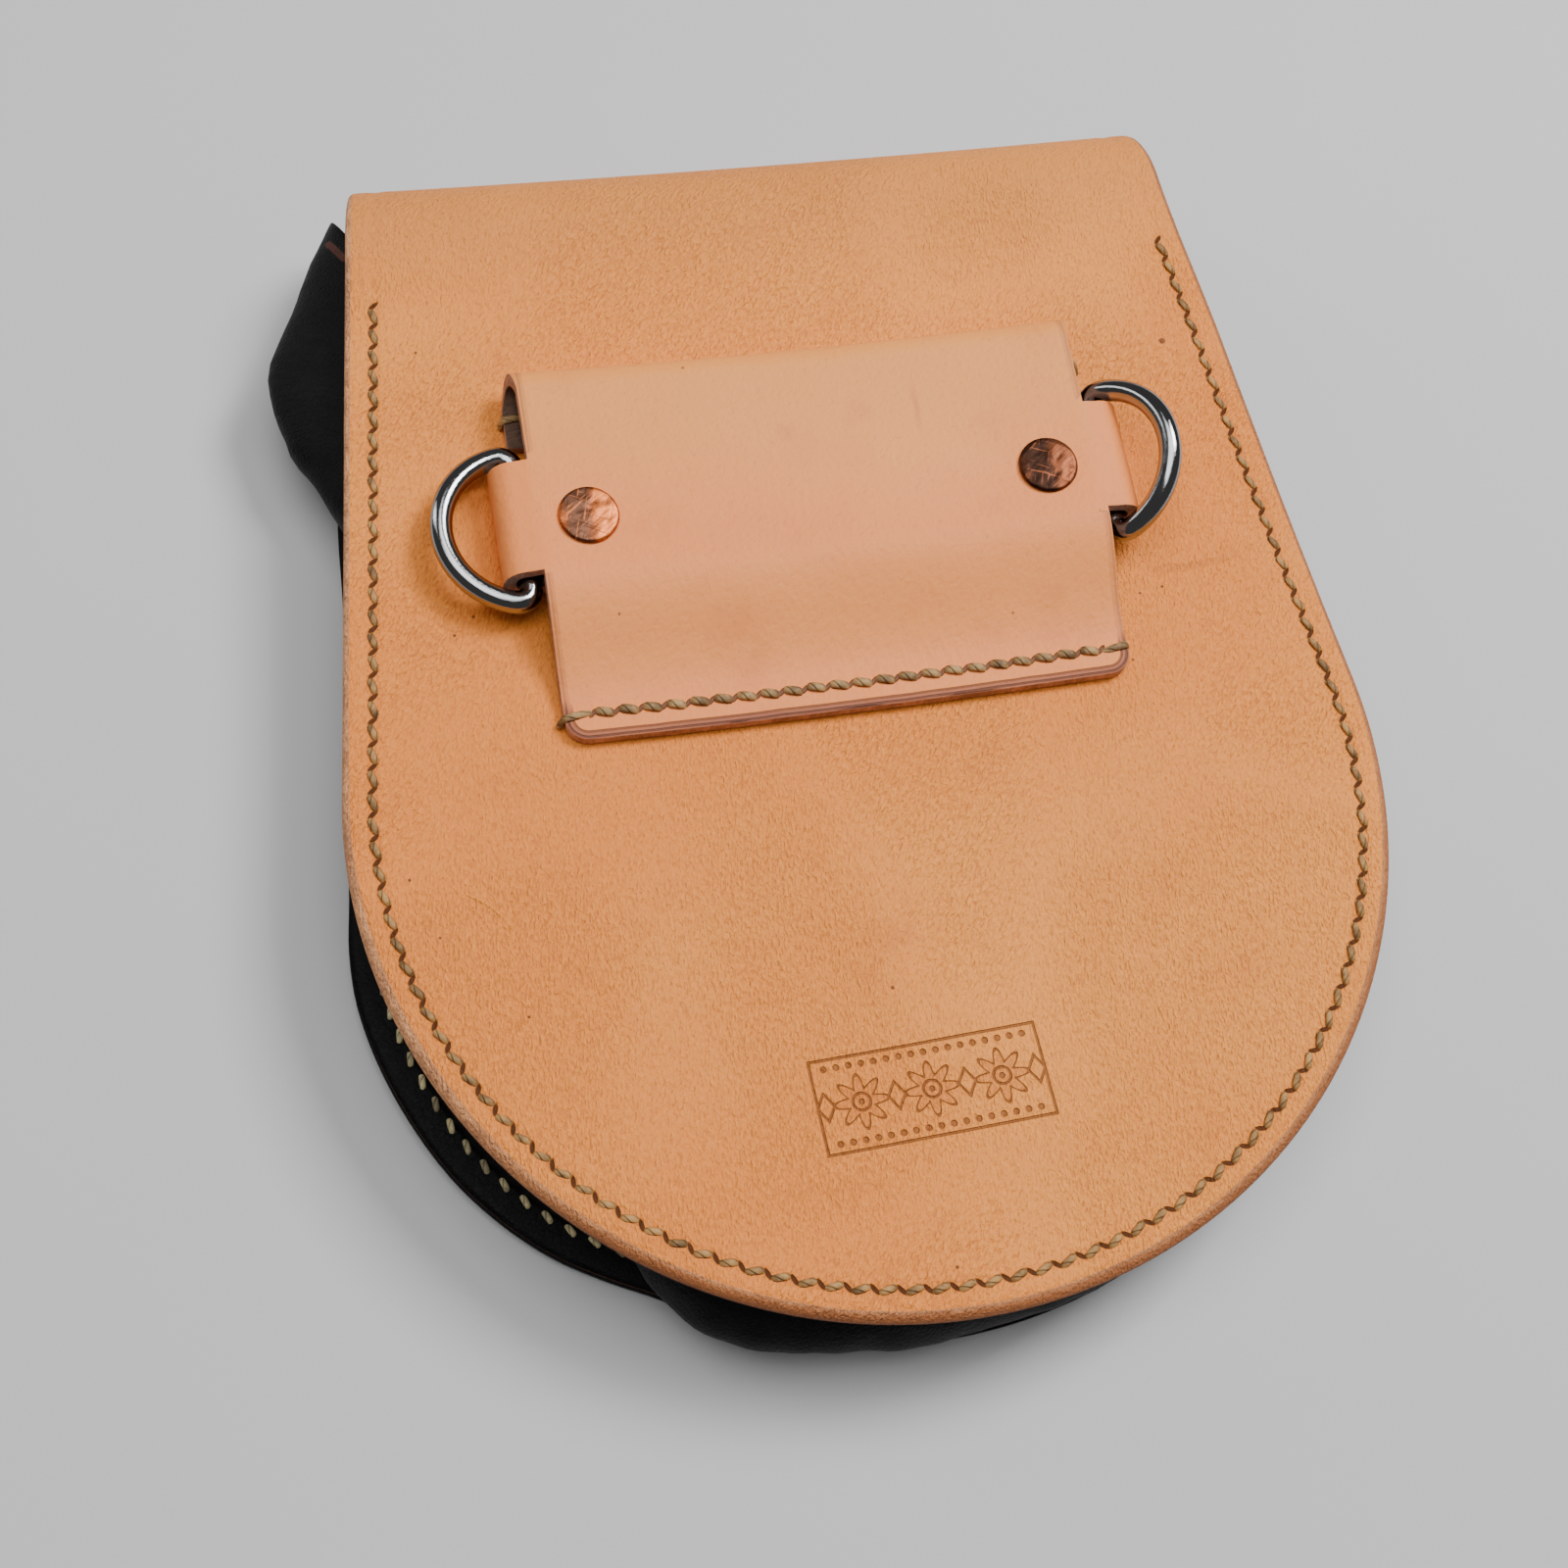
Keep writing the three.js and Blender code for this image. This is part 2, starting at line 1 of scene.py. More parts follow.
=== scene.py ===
"""Leather belt pouch lying on its front flap, back up, with its belt loop, rings and rivets."""
import math

import bmesh
import bpy
from mathutils import Matrix, Vector, noise


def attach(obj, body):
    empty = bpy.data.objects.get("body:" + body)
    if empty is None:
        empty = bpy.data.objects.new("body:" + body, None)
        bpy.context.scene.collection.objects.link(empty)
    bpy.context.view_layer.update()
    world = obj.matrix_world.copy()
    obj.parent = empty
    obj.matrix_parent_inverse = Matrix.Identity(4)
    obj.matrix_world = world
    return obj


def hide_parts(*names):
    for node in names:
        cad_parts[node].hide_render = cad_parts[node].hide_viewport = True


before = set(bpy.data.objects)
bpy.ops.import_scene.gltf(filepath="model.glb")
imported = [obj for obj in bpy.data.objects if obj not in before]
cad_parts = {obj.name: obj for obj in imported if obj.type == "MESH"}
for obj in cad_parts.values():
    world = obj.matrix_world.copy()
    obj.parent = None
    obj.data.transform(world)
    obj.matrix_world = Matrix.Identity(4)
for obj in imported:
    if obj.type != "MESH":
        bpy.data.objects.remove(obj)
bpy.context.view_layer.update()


# Table, light and camera
# The pouch lies on a pale grey table top under one large soft lamp, high at the upper right,
# with weaker light from the left and from the front. The camera looks down on the back.
def srgb(red, green, blue):
    """Linear colour of a shade given as it looks on a screen, 0 to 255."""
    shown = [value / 255 for value in (red, green, blue)]
    return tuple(v / 12.92 if v < 0.0404 else ((v + 0.055) / 1.055) ** 2.4 for v in shown) + (1.0,)


class Amount:
    """A number that varies over a surface. Arithmetic on it adds the Math nodes."""

    def __init__(self, finish, socket):
        self.finish = finish
        self.socket = socket

    def maths(self, operation, *values):
        return self.finish.maths_of(operation, *values)

    def __add__(self, other):
        return self.maths("ADD", self, other)

    __radd__ = __add__

    def __sub__(self, other):
        return self.maths("SUBTRACT", self, other)

    def __rsub__(self, other):
        return self.maths("SUBTRACT", other, self)

    def __mul__(self, other):
        return self.maths("MULTIPLY", self, other)

    __rmul__ = __mul__

    def __truediv__(self, other):
        return self.maths("DIVIDE", self, other)

    def __pow__(self, other):
        return self.maths("POWER", self, other)

    def least(self, other):
        return self.maths("MINIMUM", self, other)

    def most(self, other):
        return self.maths("MAXIMUM", self, other)

    def size(self):
        return self.maths("ABSOLUTE", self)

    def offset_in(self, period):
        """How far it is from the nearest whole number of periods."""
        return (self.maths("FRACT", self / period + 0.5) - 0.5) * period

    def between(self, low, high):
        """0 at low and 1 at high, smoothly; low may be the larger."""
        if low > high:
            return 1 - self.between(high, low)
        sockets = {0: self, 1: low, 2: high, 3: 0.0, 4: 1.0}
        node = self.finish.add("ShaderNodeMapRange", {"interpolation_type": "SMOOTHSTEP"}, sockets)
        return Amount(self.finish, node.outputs[0])


class Finish:
    """One procedural material. add() makes any node; the other methods name common ones."""

    def __init__(self, name, **fixed):
        self.material = bpy.data.materials.new(name)
        self.material.use_nodes = True
        self.tree = self.material.node_tree
        self.shader = self.tree.nodes["Principled BSDF"]
        for socket, value in fixed.items():
            self.shader.inputs[socket.replace("_", " ")].default_value = value

    def add(self, kind, settings=None, sockets=None):
        node = self.tree.nodes.new(kind)
        for name, value in (settings or {}).items():
            setattr(node, name, value)
        for key, value in (sockets or {}).items():
            value = getattr(value, "socket", value)
            if isinstance(value, bpy.types.NodeSocket):
                self.tree.links.new(value, node.inputs[key])
            else:
                node.inputs[key].default_value = value
        return node

    def set(self, **sockets):
        for name, value in sockets.items():
            self.tree.links.new(getattr(value, "socket", value), self.shader.inputs[name.replace("_", " ")])

    def here(self, turn=0.0, stretch=(1.0, 1.0, 1.0), offset=(0.0, 0.0, 0.0)):
        """Place on the piece in metres along axes turned about Z, in degrees. A pattern on it is
        finer by stretch along each of those axes."""
        place = self.add("ShaderNodeTexCoord").outputs["Object"]
        rotation, scale = (0.0, 0.0, math.radians(turn)), tuple(1 / amount for amount in stretch)
        sockets = {"Vector": place, "Rotation": rotation, "Scale": scale, "Location": offset}
        return self.add("ShaderNodeMapping", {"vector_type": "TEXTURE"}, sockets).outputs[0]

    def maths_of(self, operation, *values):
        node = self.add("ShaderNodeMath", {"operation": operation}, dict(enumerate(values)))
        return Amount(self, node.outputs[0])

    def parts(self, vector):
        node = self.add("ShaderNodeSeparateXYZ", None, {0: vector})
        return [Amount(self, output) for output in node.outputs]

    def on_sheet(self, name):
        """The two numbers of a UV map, in mm."""
        return self.parts(self.add("ShaderNodeUVMap", {"uv_map": name}).outputs[0])[:2]

    def from_spot(self, x=0.0, y=0.0):
        """How far east and north it is from a spot in the part's frame, in mm."""
        east, north, _ = self.parts(self.here())
        return east * 1000 - x, north * 1000 - y

    def clouds(self, place, scale, detail=2.0, rough=0.5, twist=0.0):
        sockets = {"Vector": place, "Scale": scale, "Detail": detail, "Roughness": rough, "Distortion": twist}
        return Amount(self, self.add("ShaderNodeTexNoise", None, sockets).outputs[0])

    def cells(self, place, scale):
        """Distance from the nearest border between the cells."""
        settings, sockets = {"feature": "DISTANCE_TO_EDGE"}, {"Vector": place, "Scale": scale}
        return Amount(self, self.add("ShaderNodeTexVoronoi", settings, sockets).outputs[0])

    def blend(self, first, second, amount):
        settings = {"data_type": "RGBA", "clamp_factor": True}
        return self.add("ShaderNodeMix", settings, {0: amount, 6: first, 7: second}).outputs[2]

    def relief(self, height, distance):
        sockets = {"Height": height, "Distance": distance, "Strength": 1.0}
        return self.add("ShaderNodeBump", None, sockets).outputs[0]


table = Finish("table_top", Specular_IOR_Level=0.2)
veil = table.clouds(table.here(), 6.0, 3.0)
table.set(Base_Color=table.blend(srgb(196, 196, 197), srgb(203, 203, 204), veil), Roughness=0.62 + 0.1 * veil)
top = bmesh.new()
bmesh.ops.create_grid(top, x_segments=8, y_segments=8, size=3.0)
table_mesh = bpy.data.meshes.new("table_top")
top.to_mesh(table_mesh)
top.free()
table_mesh.materials.append(table.material)
table_top = bpy.data.objects.new("table_top", table_mesh)
bpy.context.scene.collection.objects.link(table_top)


def lamp(name, place, power, width, height=None):
    light = bpy.data.lights.new(name, "AREA")
    light.shape = "RECTANGLE"
    light.size, light.size_y = width, height or width
    light.energy = power
    lit = bpy.data.objects.new(name, light)
    lit.location = place
    lit.rotation_euler = (Vector((0.0, 0.0, 0.02)) - Vector(place)).to_track_quat("-Z", "Y").to_euler()
    bpy.context.scene.collection.objects.link(lit)


lamp("key_lamp", (0.62, 0.30, 1.00), 14.3, 0.42)
lamp("ceiling_lamp", (-0.10, 0.10, 1.50), 16.0, 1.1)
lamp("window_lamp", (-0.95, 0.75, 0.55), 2.0, 0.25, 0.7)

world = bpy.data.worlds.new("room")
world.use_nodes = True
world.node_tree.nodes["Background"].inputs["Color"].default_value = (0.97, 0.96, 0.95, 1.0)
world.node_tree.nodes["Background"].inputs["Strength"].default_value = 0.10
bpy.context.scene.world = world

PHOTO_WIDTH, FOCAL_LENGTH = 1600.0, 2200.2  # pixels
CAMERA_PLACE = (-0.07776, -0.15207, 0.37944)
CAMERA_AXES = Matrix(((0.978847, 0.121408, -0.164676),
                      (-0.172751, 0.921698, -0.347319),
                      (0.109614, 0.368420, 0.923175)))
eye = bpy.data.cameras.new("camera")
eye.sensor_width = 36.0
eye.lens = 36.0 * FOCAL_LENGTH / PHOTO_WIDTH
eye.clip_start = 0.01
camera = bpy.data.objects.new("camera", eye)
camera.matrix_world = Matrix.Translation(CAMERA_PLACE) @ CAMERA_AXES.to_4x4()
bpy.context.scene.collection.objects.link(camera)
bpy.context.scene.camera = camera


# Back and flap
# One piece of thick undyed leather: it is the back of the pouch, rolls over at the top and
# goes on as the flap under it. The cut edge is rounded and burnished brown. A groove takes
# the stitches, and each awl hole shows as a slanted slit of painted shade.
MM = 0.001
SHIFT = Vector((1.8178, -110.5045, 0.0))  # from the lowest rim slit to the part's middle, mm
PITCH, HALF_STITCHES = 4.4, 56  # rim stitches, and how many lie on each side of the lowest slit
LAST_STITCH = HALF_STITCHES * PITCH
SEAM_RADIUS, SEAM_TAPER, SEAM_MARGIN = 88.6, math.radians(6.2), 5.3
STITCHED_HEIGHT, SEAM_TAIL = 195.5, 2.5
BACK_LEATHER, MIDDLE_HEIGHT = 3.0, 23.0
DISH_CENTRE, END_RISE, SIDE_RISE = 97.0, 5.0, 4.4
FOLD_START, FOLD_FLATTEN, FOLD_REACH = 210.3, 0.6, 40.0
FLAP_END, FLAP_ROUND = 58.0, 75.0
ARC_TURN = math.pi / 2 + SEAM_TAPER
ARC_LENGTH = SEAM_RADIUS * ARC_TURN
ARC_TOP = SEAM_RADIUS * (1 - math.cos(ARC_TURN))


def mixed(a, b, t):
    return a + (b - a) * t


def eased(value, low, high):
    t = min(max((value - low) / (high - low), 0.0), 1.0)
    return t * t * (3 - 2 * t)


def side_length(height):
    return ARC_LENGTH + (height - ARC_TOP) / math.cos(SEAM_TAPER)


SEAM_END = side_length(STITCHED_HEIGHT + SEAM_TAIL)

NATURAL_LIGHT, NATURAL_MID, NATURAL_DARK = srgb(246, 153, 65), srgb(238, 137, 52), srgb(200, 109, 48)
# The first of these is a painted shade laid towards the fold; the rest are the cut edge's own colours.
FOLD_SHADE, EDGE_LIGHT, EDGE_DARK = srgb(209, 134, 66), srgb(236, 168, 116), srgb(166, 116, 84)
EDGE_LIP, EDGE_BURNISHED = srgb(240, 178, 112), srgb(156, 90, 50)
# The first is painted shade in the awl holes and also the colour of small dark specks; the second is the
# colour of the tooling.
SLIT_SHADE_AND_SPECK, TOOLED = srgb(70, 36, 16), srgb(132, 74, 36)


def rim(s, outwards):
    """A place beside the rim seam: s along it from the lowest slit, right if positive."""
    turn = min(abs(s) / SEAM_RADIUS, ARC_TURN)
    beyond = max(abs(s) - ARC_LENGTH, 0.0)
    radius = SEAM_RADIUS + outwards
    x = radius * math.sin(turn) + beyond * math.cos(turn)
    y = SEAM_RADIUS - radius * math.cos(turn) + beyond * math.sin(turn)
    return (-x if s < 0 else x), y


def fold_fade(y):
    return 1 - FOLD_FLATTEN * eased(y, FOLD_START - FOLD_REACH, FOLD_START)


def end_curl(y):
    return MIDDLE_HEIGHT + END_RISE * ((y - DISH_CENTRE) / DISH_CENTRE) ** 2


def side_curl(x):
    return SIDE_RISE * (x / SEAM_RADIUS) ** 2


def back_top(x, y):
    return end_curl(y) + fold_fade(y) * side_curl(x)


def corners(verts, columns, rows):
    """Column and row of each corner of a grid that is 1 wide and 1 high about the origin."""
    return {v: (round((v.co.x + 0.5) * columns), round((v.co.y + 0.5) * rows)) for v in verts}


def moulded(name, columns, rows, place, sheet=None):
    """A grid whose corner (column, row) goes to place(column, row), in mm from the lowest
    slit. sheet gives each corner's two numbers for the UV map of the same name."""
    mesh = bmesh.new()
    bmesh.ops.create_grid(mesh, x_segments=columns, y_segments=rows, size=0.5)
    at = corners(mesh.verts, columns, rows)
    if sheet:
        layer = mesh.loops.layers.uv.new(name)
        known = {spot: sheet(*spot) for spot in at.values()}
        for face in mesh.faces:
            for loop in face.loops:
                loop[layer].uv = known[at[loop.vert]]
    for vert, spot in at.items():
        vert.co = place(*spot)
    return mesh


def closed(mesh):
    """Joins the corners that meet and turns the faces outwards."""
    bmesh.ops.remove_doubles(mesh, verts=mesh.verts, dist=0.01)
    bmesh.ops.dissolve_degenerate(mesh, edges=mesh.edges, dist=0.001)
    bmesh.ops.recalc_face_normals(mesh, faces=mesh.faces)
    return mesh


def lay(mesh, name, finishes, body="pouch", stands_for=()):
    """Puts a mesh in mm from the lowest slit down as a piece, in metres in the part's frame."""
    bmesh.ops.translate(mesh, verts=mesh.verts, vec=SHIFT)
    bmesh.ops.scale(mesh, verts=mesh.verts, vec=(MM, MM, MM))
    for face in mesh.faces:
        face.smooth = True
    data = bpy.data.meshes.new(name)
    mesh.to_mesh(data)
    mesh.free()
    for finish in finishes:
        data.materials.append(finish.material)
    piece = bpy.data.objects.new(name, data)
    bpy.context.scene.collection.objects.link(piece)
    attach(piece, body)
    if stands_for:
        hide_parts(*stands_for)
    return piece


# Section across the leather at one edge: n outwards from the seam, depth below the top
EDGE_TOP = [(-7.0, 0.0), (-5.0, 0.0), (-4.0, 0.0), (-3.2, 0.0), (-2.4, -0.02), (-1.7, -0.03), (-1.1, 0.02),
            (-0.5, 0.1), (0.0, 0.15), (0.5, 0.1), (1.1, 0.02), (1.7, -0.02), (2.4, 0.0), (3.0, 0.06),
            (3.6, 0.2), (4.2, 0.5), (4.7, 0.95), (5.1, 1.55), (5.3, 2.15), (5.22, 2.6), (4.95, 2.88),
            (4.5, 3.0)]
LOWER_FACE = 2.0  # n at which the lower face starts, inwards of the edge
ACROSS, SEAM_STEPS, FOLD_STEPS, FLAP_STEPS, END_STEPS = 26, 168, 32, 12, 24
INSIDE, PAST_SEAM = -60.0, 300.0  # UV values far from the edge and past the last stitch


def edge_run():
    """Length along the section, for the UV map, from the seam outwards."""
    lengths, total = [], EDGE_TOP[0][0]
    for k, spot in enumerate(EDGE_TOP):
        if k:
            total += math.dist(spot, EDGE_TOP[k - 1])
        lengths.append(total)
    return lengths


def back_section():
    """Stations round the leather: side, n, depth, share of the way across, and UV value."""
    runs = edge_run()
    left = [(-1, n, depth, None, run) for (n, depth), run in zip(EDGE_TOP, runs)]
    right = [(1, n, depth, None, run) for (n, depth), run in zip(EDGE_TOP, runs)]
    inner = EDGE_TOP[0][0]
    upper = [(0, inner, 0.0, k / ACROSS, INSIDE) for k in range(1, ACROSS)]
    lower = [(0, LOWER_FACE, BACK_LEATHER, 1 - k / ACROSS, INSIDE) for k in range(0, ACROSS + 1)]
    return left[::-1] + upper + right + lower + [left[-1]]


def back_rows():
    """Rows from the round end up the back, round the fold and down the flap. Each has the
    length along the seam, or its own height and half width where there is no seam."""
    start_s = side_length(FOLD_START)
    rows = [{"s": start_s * k / SEAM_STEPS} for k in range(SEAM_STEPS + 1)]
    start_x, start_y = rim(start_s, SEAM_MARGIN)
    lean = math.atan((end_curl(start_y + 0.5) - end_curl(start_y - 0.5)))
    start_z = end_curl(start_y)
    radius = start_z / (1 + math.cos(lean))
    centre = start_y + radius * math.sin(lean)
    narrowing = math.tan(SEAM_TAPER)

    def half_at(y):
        return start_x - (y - start_y) * narrowing

    def flap_row(y, half):
        return {"y": y, "z": 0.0, "half": half, "dish": 0.0, "down": (0, -1), "s": PAST_SEAM}

    for k in range(1, FOLD_STEPS + 1):
        turn = mixed(-lean, math.pi, k / FOLD_STEPS)
        y = centre + radius * math.sin(turn)
        rows.append({"y": y, "z": radius * (1 + math.cos(turn)), "half": half_at(y),
                     "dish": fold_fade(start_y) * (1 - eased(k / FOLD_STEPS, 0, 1)),
                     "down": (math.sin(turn), math.cos(turn)), "s": start_s + 0.5 * k})
    round_start = FLAP_END + FLAP_ROUND
    for k in range(1, FLAP_STEPS + 1):
        y = mixed(centre, round_start, k / FLAP_STEPS)
        rows.append(flap_row(y, half_at(y)))
    for k in range(1, END_STEPS + 1):
        turn = math.pi / 2 * k / END_STEPS
        half = half_at(round_start) * math.cos(turn)
        rows.append(flap_row(round_start - FLAP_ROUND * math.sin(turn), half))
    return rows


def swell(x, y):
    """Slight hollows and swellings of the handled leather, in mm."""
    wide = noise.noise(Vector((x * 0.028, y * 0.028, 3.7)))
    small = noise.noise(Vector((x * 0.09, y * 0.09, 8.1)))
    return 0.35 * wide + 0.12 * small


section, rows = back_section(), back_rows()


def back_place(column, row):
    side, n, depth, share, _ = section[column]
    line = rows[row]
    if n > 2.5:  # the edge is less rounded towards the fold
        crisp = 1.0 if "half" in line else eased(line["s"], 120, 220)
        depth = BACK_LEATHER * (depth / BACK_LEATHER) ** mixed(1, 2.2, crisp)
    if "half" not in line:
        s = line["s"]
        left, right = rim(-s, n), rim(s, n)
        if share is None:
            spot = right if side > 0 else left
        else:
            spot = tuple(mixed(a, b, share) for a, b in zip(left, right))
        if s == 0.0:
            spot = (0.0, spot[1])
        wave = swell(*spot) * (1.0 if depth < 1.0 else 0.4) * eased(right[0] - abs(spot[0]), -6, 14)
        return Vector((spot[0], spot[1], back_top(*spot) + wave - depth))
    inset = (SEAM_MARGIN - n) / math.cos(SEAM_TAPER)
    half = max(line["half"] - inset, 0.0)
    x = side * half if share is None else half * mixed(-1, 1, share)
    z = line["z"] + line["dish"] * side_curl(x)
    back, down = line["down"]
    return Vector((x, line["y"] - depth * back, z - depth * down))


def back_sheet(column, row):
    side, _, _, _, run = section[column]
    return (rows[row]["s"] * (side or 1), run)


SLIT_WIDE, SLANT = 0.5, 0.7071  # half width in mm, and the sine of 45 degrees


def awl_slit(along, out, long, sure):
    """A slanted slit at 0, 0 with half its length given: 0 from its outline outwards, and 1
    within the share sure of that outline."""
    lengthwise, crosswise = (along + out) * SLANT, (along - out) * SLANT
    return (((lengthwise / long) ** 2 + (crosswise / SLIT_WIDE) ** 2) ** 0.5).between(1.0, sure)


natural = Finish("undyed_leather", Specular_IOR_Level=0.3)
s_along, n_out = natural.on_sheet("seam")
broad = natural.clouds(natural.here(), 9.0, 3.0, 0.55)
middle = natural.clouds(natural.here(turn=35), 42.0, 4.0, 0.6)
upright = natural.clouds(natural.here(turn=-6, stretch=(1.0, 0.42, 1.0)), 2200.0, 2.0, 0.5, 0.4)
leaning = natural.clouds(natural.here(turn=-36, stretch=(1.0, 0.45, 1.0)), 1900.0, 2.0, 0.5, 0.5)
where = natural.clouds(natural.here(offset=(0.4, 0.0, 0.0)), 14.0, 1.0).between(0.42, 0.58)
pebble = upright * where + leaning * (1 - where)
_, northwards = natural.from_spot()
# painted shade: darker towards the fold at the top, where the back curves away from the light
fold_shade = northwards.between(78.0, 108.0)
skin = natural.clouds(natural.here(turn=-30, stretch=(1.0, 2.2, 1.0)), 190.0, 5.0, 0.68)
stitched = s_along.size().between(LAST_STITCH + 2.0, LAST_STITCH + 1.6)
slit = awl_slit(s_along.offset_in(PITCH), n_out, 1.4, 0.6) * stitched
beside = n_out.size().between(1.5, 0.5) * stitched
edge_start = 3.3 + 0.8 * s_along.size().between(100, 180)
edge = (n_out - edge_start).between(0.0, 0.4)
lip = n_out.between(6.3, 6.8)
tan = natural.blend(NATURAL_MID, NATURAL_LIGHT, broad.between(0.4, 0.7))
tan = natural.blend(tan, NATURAL_DARK, middle.between(0.55, 0.8) * 0.4)
# lighter on the pebble tops and darker between them: the grain's own tone with painted highlight and shade of
# its relief
tan = natural.blend(tan, NATURAL_LIGHT, pebble.between(0.5, 0.64) * 0.5)
tan = natural.blend(tan, NATURAL_DARK, pebble.between(0.48, 0.34) * 0.46)
# the painted shade towards the fold
tan = natural.blend(tan, FOLD_SHADE, fold_shade * (0.75 - 0.4 * middle))
# painted shade along the stitch groove
tan = natural.blend(tan, NATURAL_DARK, beside * 0.2)
fibres = natural.clouds(natural.here(), 1500.0, 3.0, 0.7)
blotch = natural.clouds(natural.here(), 240.0, 3.0, 0.6)
edge_tone = natural.blend(EDGE_DARK, EDGE_LIGHT, (fibres * 0.55 + blotch * 0.45).between(0.38, 0.62))
edge_tone = natural.blend(edge_tone, EDGE_LIP, lip)
burnished = s_along.between(-112, -50) * (0.45 + 0.45 * n_out.between(3.4, 4.8))
edge_tone = natural.blend(edge_tone, EDGE_BURNISHED, burnished)
scored = (n_out - edge_start - 0.3).size().between(0.35, 0.1) * fibres.between(0.45, 0.6)
tan = natural.blend(tan, edge_tone, edge * 0.9)
tan = natural.blend(tan, EDGE_DARK, scored * 0.7)
# painted shade in the awl holes
tan = natural.blend(tan, SLIT_SHADE_AND_SPECK, slit * 0.95)


BORDER_LONG, BORDER_HIGH, BEAD_PITCH, STAR_PITCH = 20.0, 8.2, 2.2, 12.4


def tooled_border(finish, centre, turn):
    """A border of stars between two ruled lines and rows of beads, pressed in with hand
    stamps. Gives how dark it is and how deep, from 0 to 1."""
    east, north = finish.from_spot(*centre)
    cos, sin = math.cos(math.radians(turn)), math.sin(math.radians(turn))
    u, v = east * cos + north * sin, north * cos - east * sin
    inside = (u.size() - BORDER_LONG).most(v.size() - BORDER_HIGH)
    ruled = inside.size().between(0.32, 0.12)
    bead_u, bead_v = u.offset_in(BEAD_PITCH), v.size() - 6.6
    beads = (bead_u * bead_u + bead_v * bead_v).between(0.42, 0.16) * u.size().between(19.3, 18.9)
    star_u = u.offset_in(STAR_PITCH)
    away, angle = (star_u * star_u + v * v) ** 0.5, finish.maths_of("ARCTAN2", v, star_u)
    outline = away - (3.6 + finish.maths_of("COSINE", angle * 8.0) * 1.15)
    ring, hub = (away - 1.5).size().between(0.3, 0.1), away.between(0.6, 0.4)
    stars = outline.size().between(0.36, 0.12).most(ring).most(hub)
    between_u = (u + STAR_PITCH / 2).offset_in(STAR_PITCH).size()
    lozenge = (between_u + v.size() * 0.62 - 1.5).size().between(0.34, 0.12)
    field, room = inside.between(0.0, -0.3), u.size().between(19.0, 18.8)
    marks = ruled.most(beads).most((stars * room).most(lozenge) * field)
    return marks, outline.between(0.0, -0.3) * field * room


def scar(finish, centre, radius, start, end, width):
    """A fine curved line pressed into the leather, in mm and degrees in the part's frame."""
    east, north = finish.from_spot(*centre)
    away = ((east * east + north * north) ** 0.5 - radius).size().between(width, 0.2 * width)
    angle = finish.maths_of("ARCTAN2", north, east) * (180 / math.pi)
    return away * angle.between(start, start + 6) * angle.between(end, end - 6)


def specks(finish, spots):
    """Small dark dots at the given places: x, y and radius in mm in the part's frame."""
    east, north = finish.from_spot()
    dots = 0.0
    for x, y, radius in spots:
        dx, dy = east - x, north - y
        dots = dots + (dx * dx + dy * dy).between(radius * radius, 0.3 * radius * radius)
    return dots


BACK_SPECKS = [(-81.7, -28.5, 0.35), (-77.8, -39.4, 0.32), (-64.8, -55.1, 0.32), (-69.0, 74.2, 0.35),
               (-64.9, 20.2, 0.35), (-68.7, 16.8, 0.38), (75.1, 62.2, 0.8), (59.1, 10.6, 0.3),
               (63.6, 11.3, 0.35), (54.7, -2.6, 0.3), (-2.2, -58.2, 0.45), (-1.5, -107.3, 0.4)]
# A scratch at the lower left, and the crease where the right ring has pulled at the leather, with painted
# shade along it
scars = scar(natural, (-79.5, -46.0), 15.6, 22.0, 66.0, 0.45)
crease_and_shade = scar(natural, (69.0, 60.0), 45.5, -102.0, -75.0, 1.2)
dots = specks(natural, BACK_SPECKS)
marks, stars = tooled_border(natural, (0.9, -76.9), 2.0)
# painted shade along the crease by the right ring
tan = natural.blend(tan, NATURAL_DARK, crease_and_shade * 0.35 + stars * 0.35)
tan = natural.blend(tan, TOOLED, marks * 0.8)
tan = natural.blend(tan, NATURAL_LIGHT, scars * 0.6)
tan = natural.blend(tan, SLIT_SHADE_AND_SPECK, dots * 0.8)
height = skin * 0.3 + pebble * 1.5 + fibres * edge * 0.2 - slit * 0.6 + scars * 0.4
height = height - marks * 0.9 - stars * 0.25 - crease_and_shade * 0.3
natural.set(Base_Color=tan, Roughness=0.5 + 0.16 * skin + 0.1 * edge + 0.3 * slit,
            Normal=natural.relief(height, 0.00055))

back = closed(moulded("seam", len(section) - 1, len(rows) - 1, back_place, back_sheet))
lay(back, "back_and_flap_leather", [natural], stands_for=["back_and_flap"])


# Rim stitches
# Waxed linen sewn by hand with two needles through awl holes. Each stitch is a short flat
# cord between two slits, pulled down into the groove.
def corded(mesh, place, length, steps=7, around=8):
    """Adds one stitch: a closed cord whose skin at share t and angle a is place(t, a). Its UV
    map "thread" has the length along it in mm and the share of a turn."""
    layer = mesh.loops.layers.uv.get("thread") or mesh.loops.layers.uv.new("thread")
    grid = bmesh.ops.create_grid(mesh, x_segments=around, y_segments=steps, size=0.5)["verts"]
    at = corners(grid, around, steps)
    for face in {f for v in grid for f in v.link_faces}:
        for loop in face.loops:
            column, row = at[loop.vert]
            loop[layer].uv = (length * row / steps, column / around)
    for vert, (column, row) in at.items():
        vert.co = place(row / steps, 2 * math.pi * (column % around) / around)


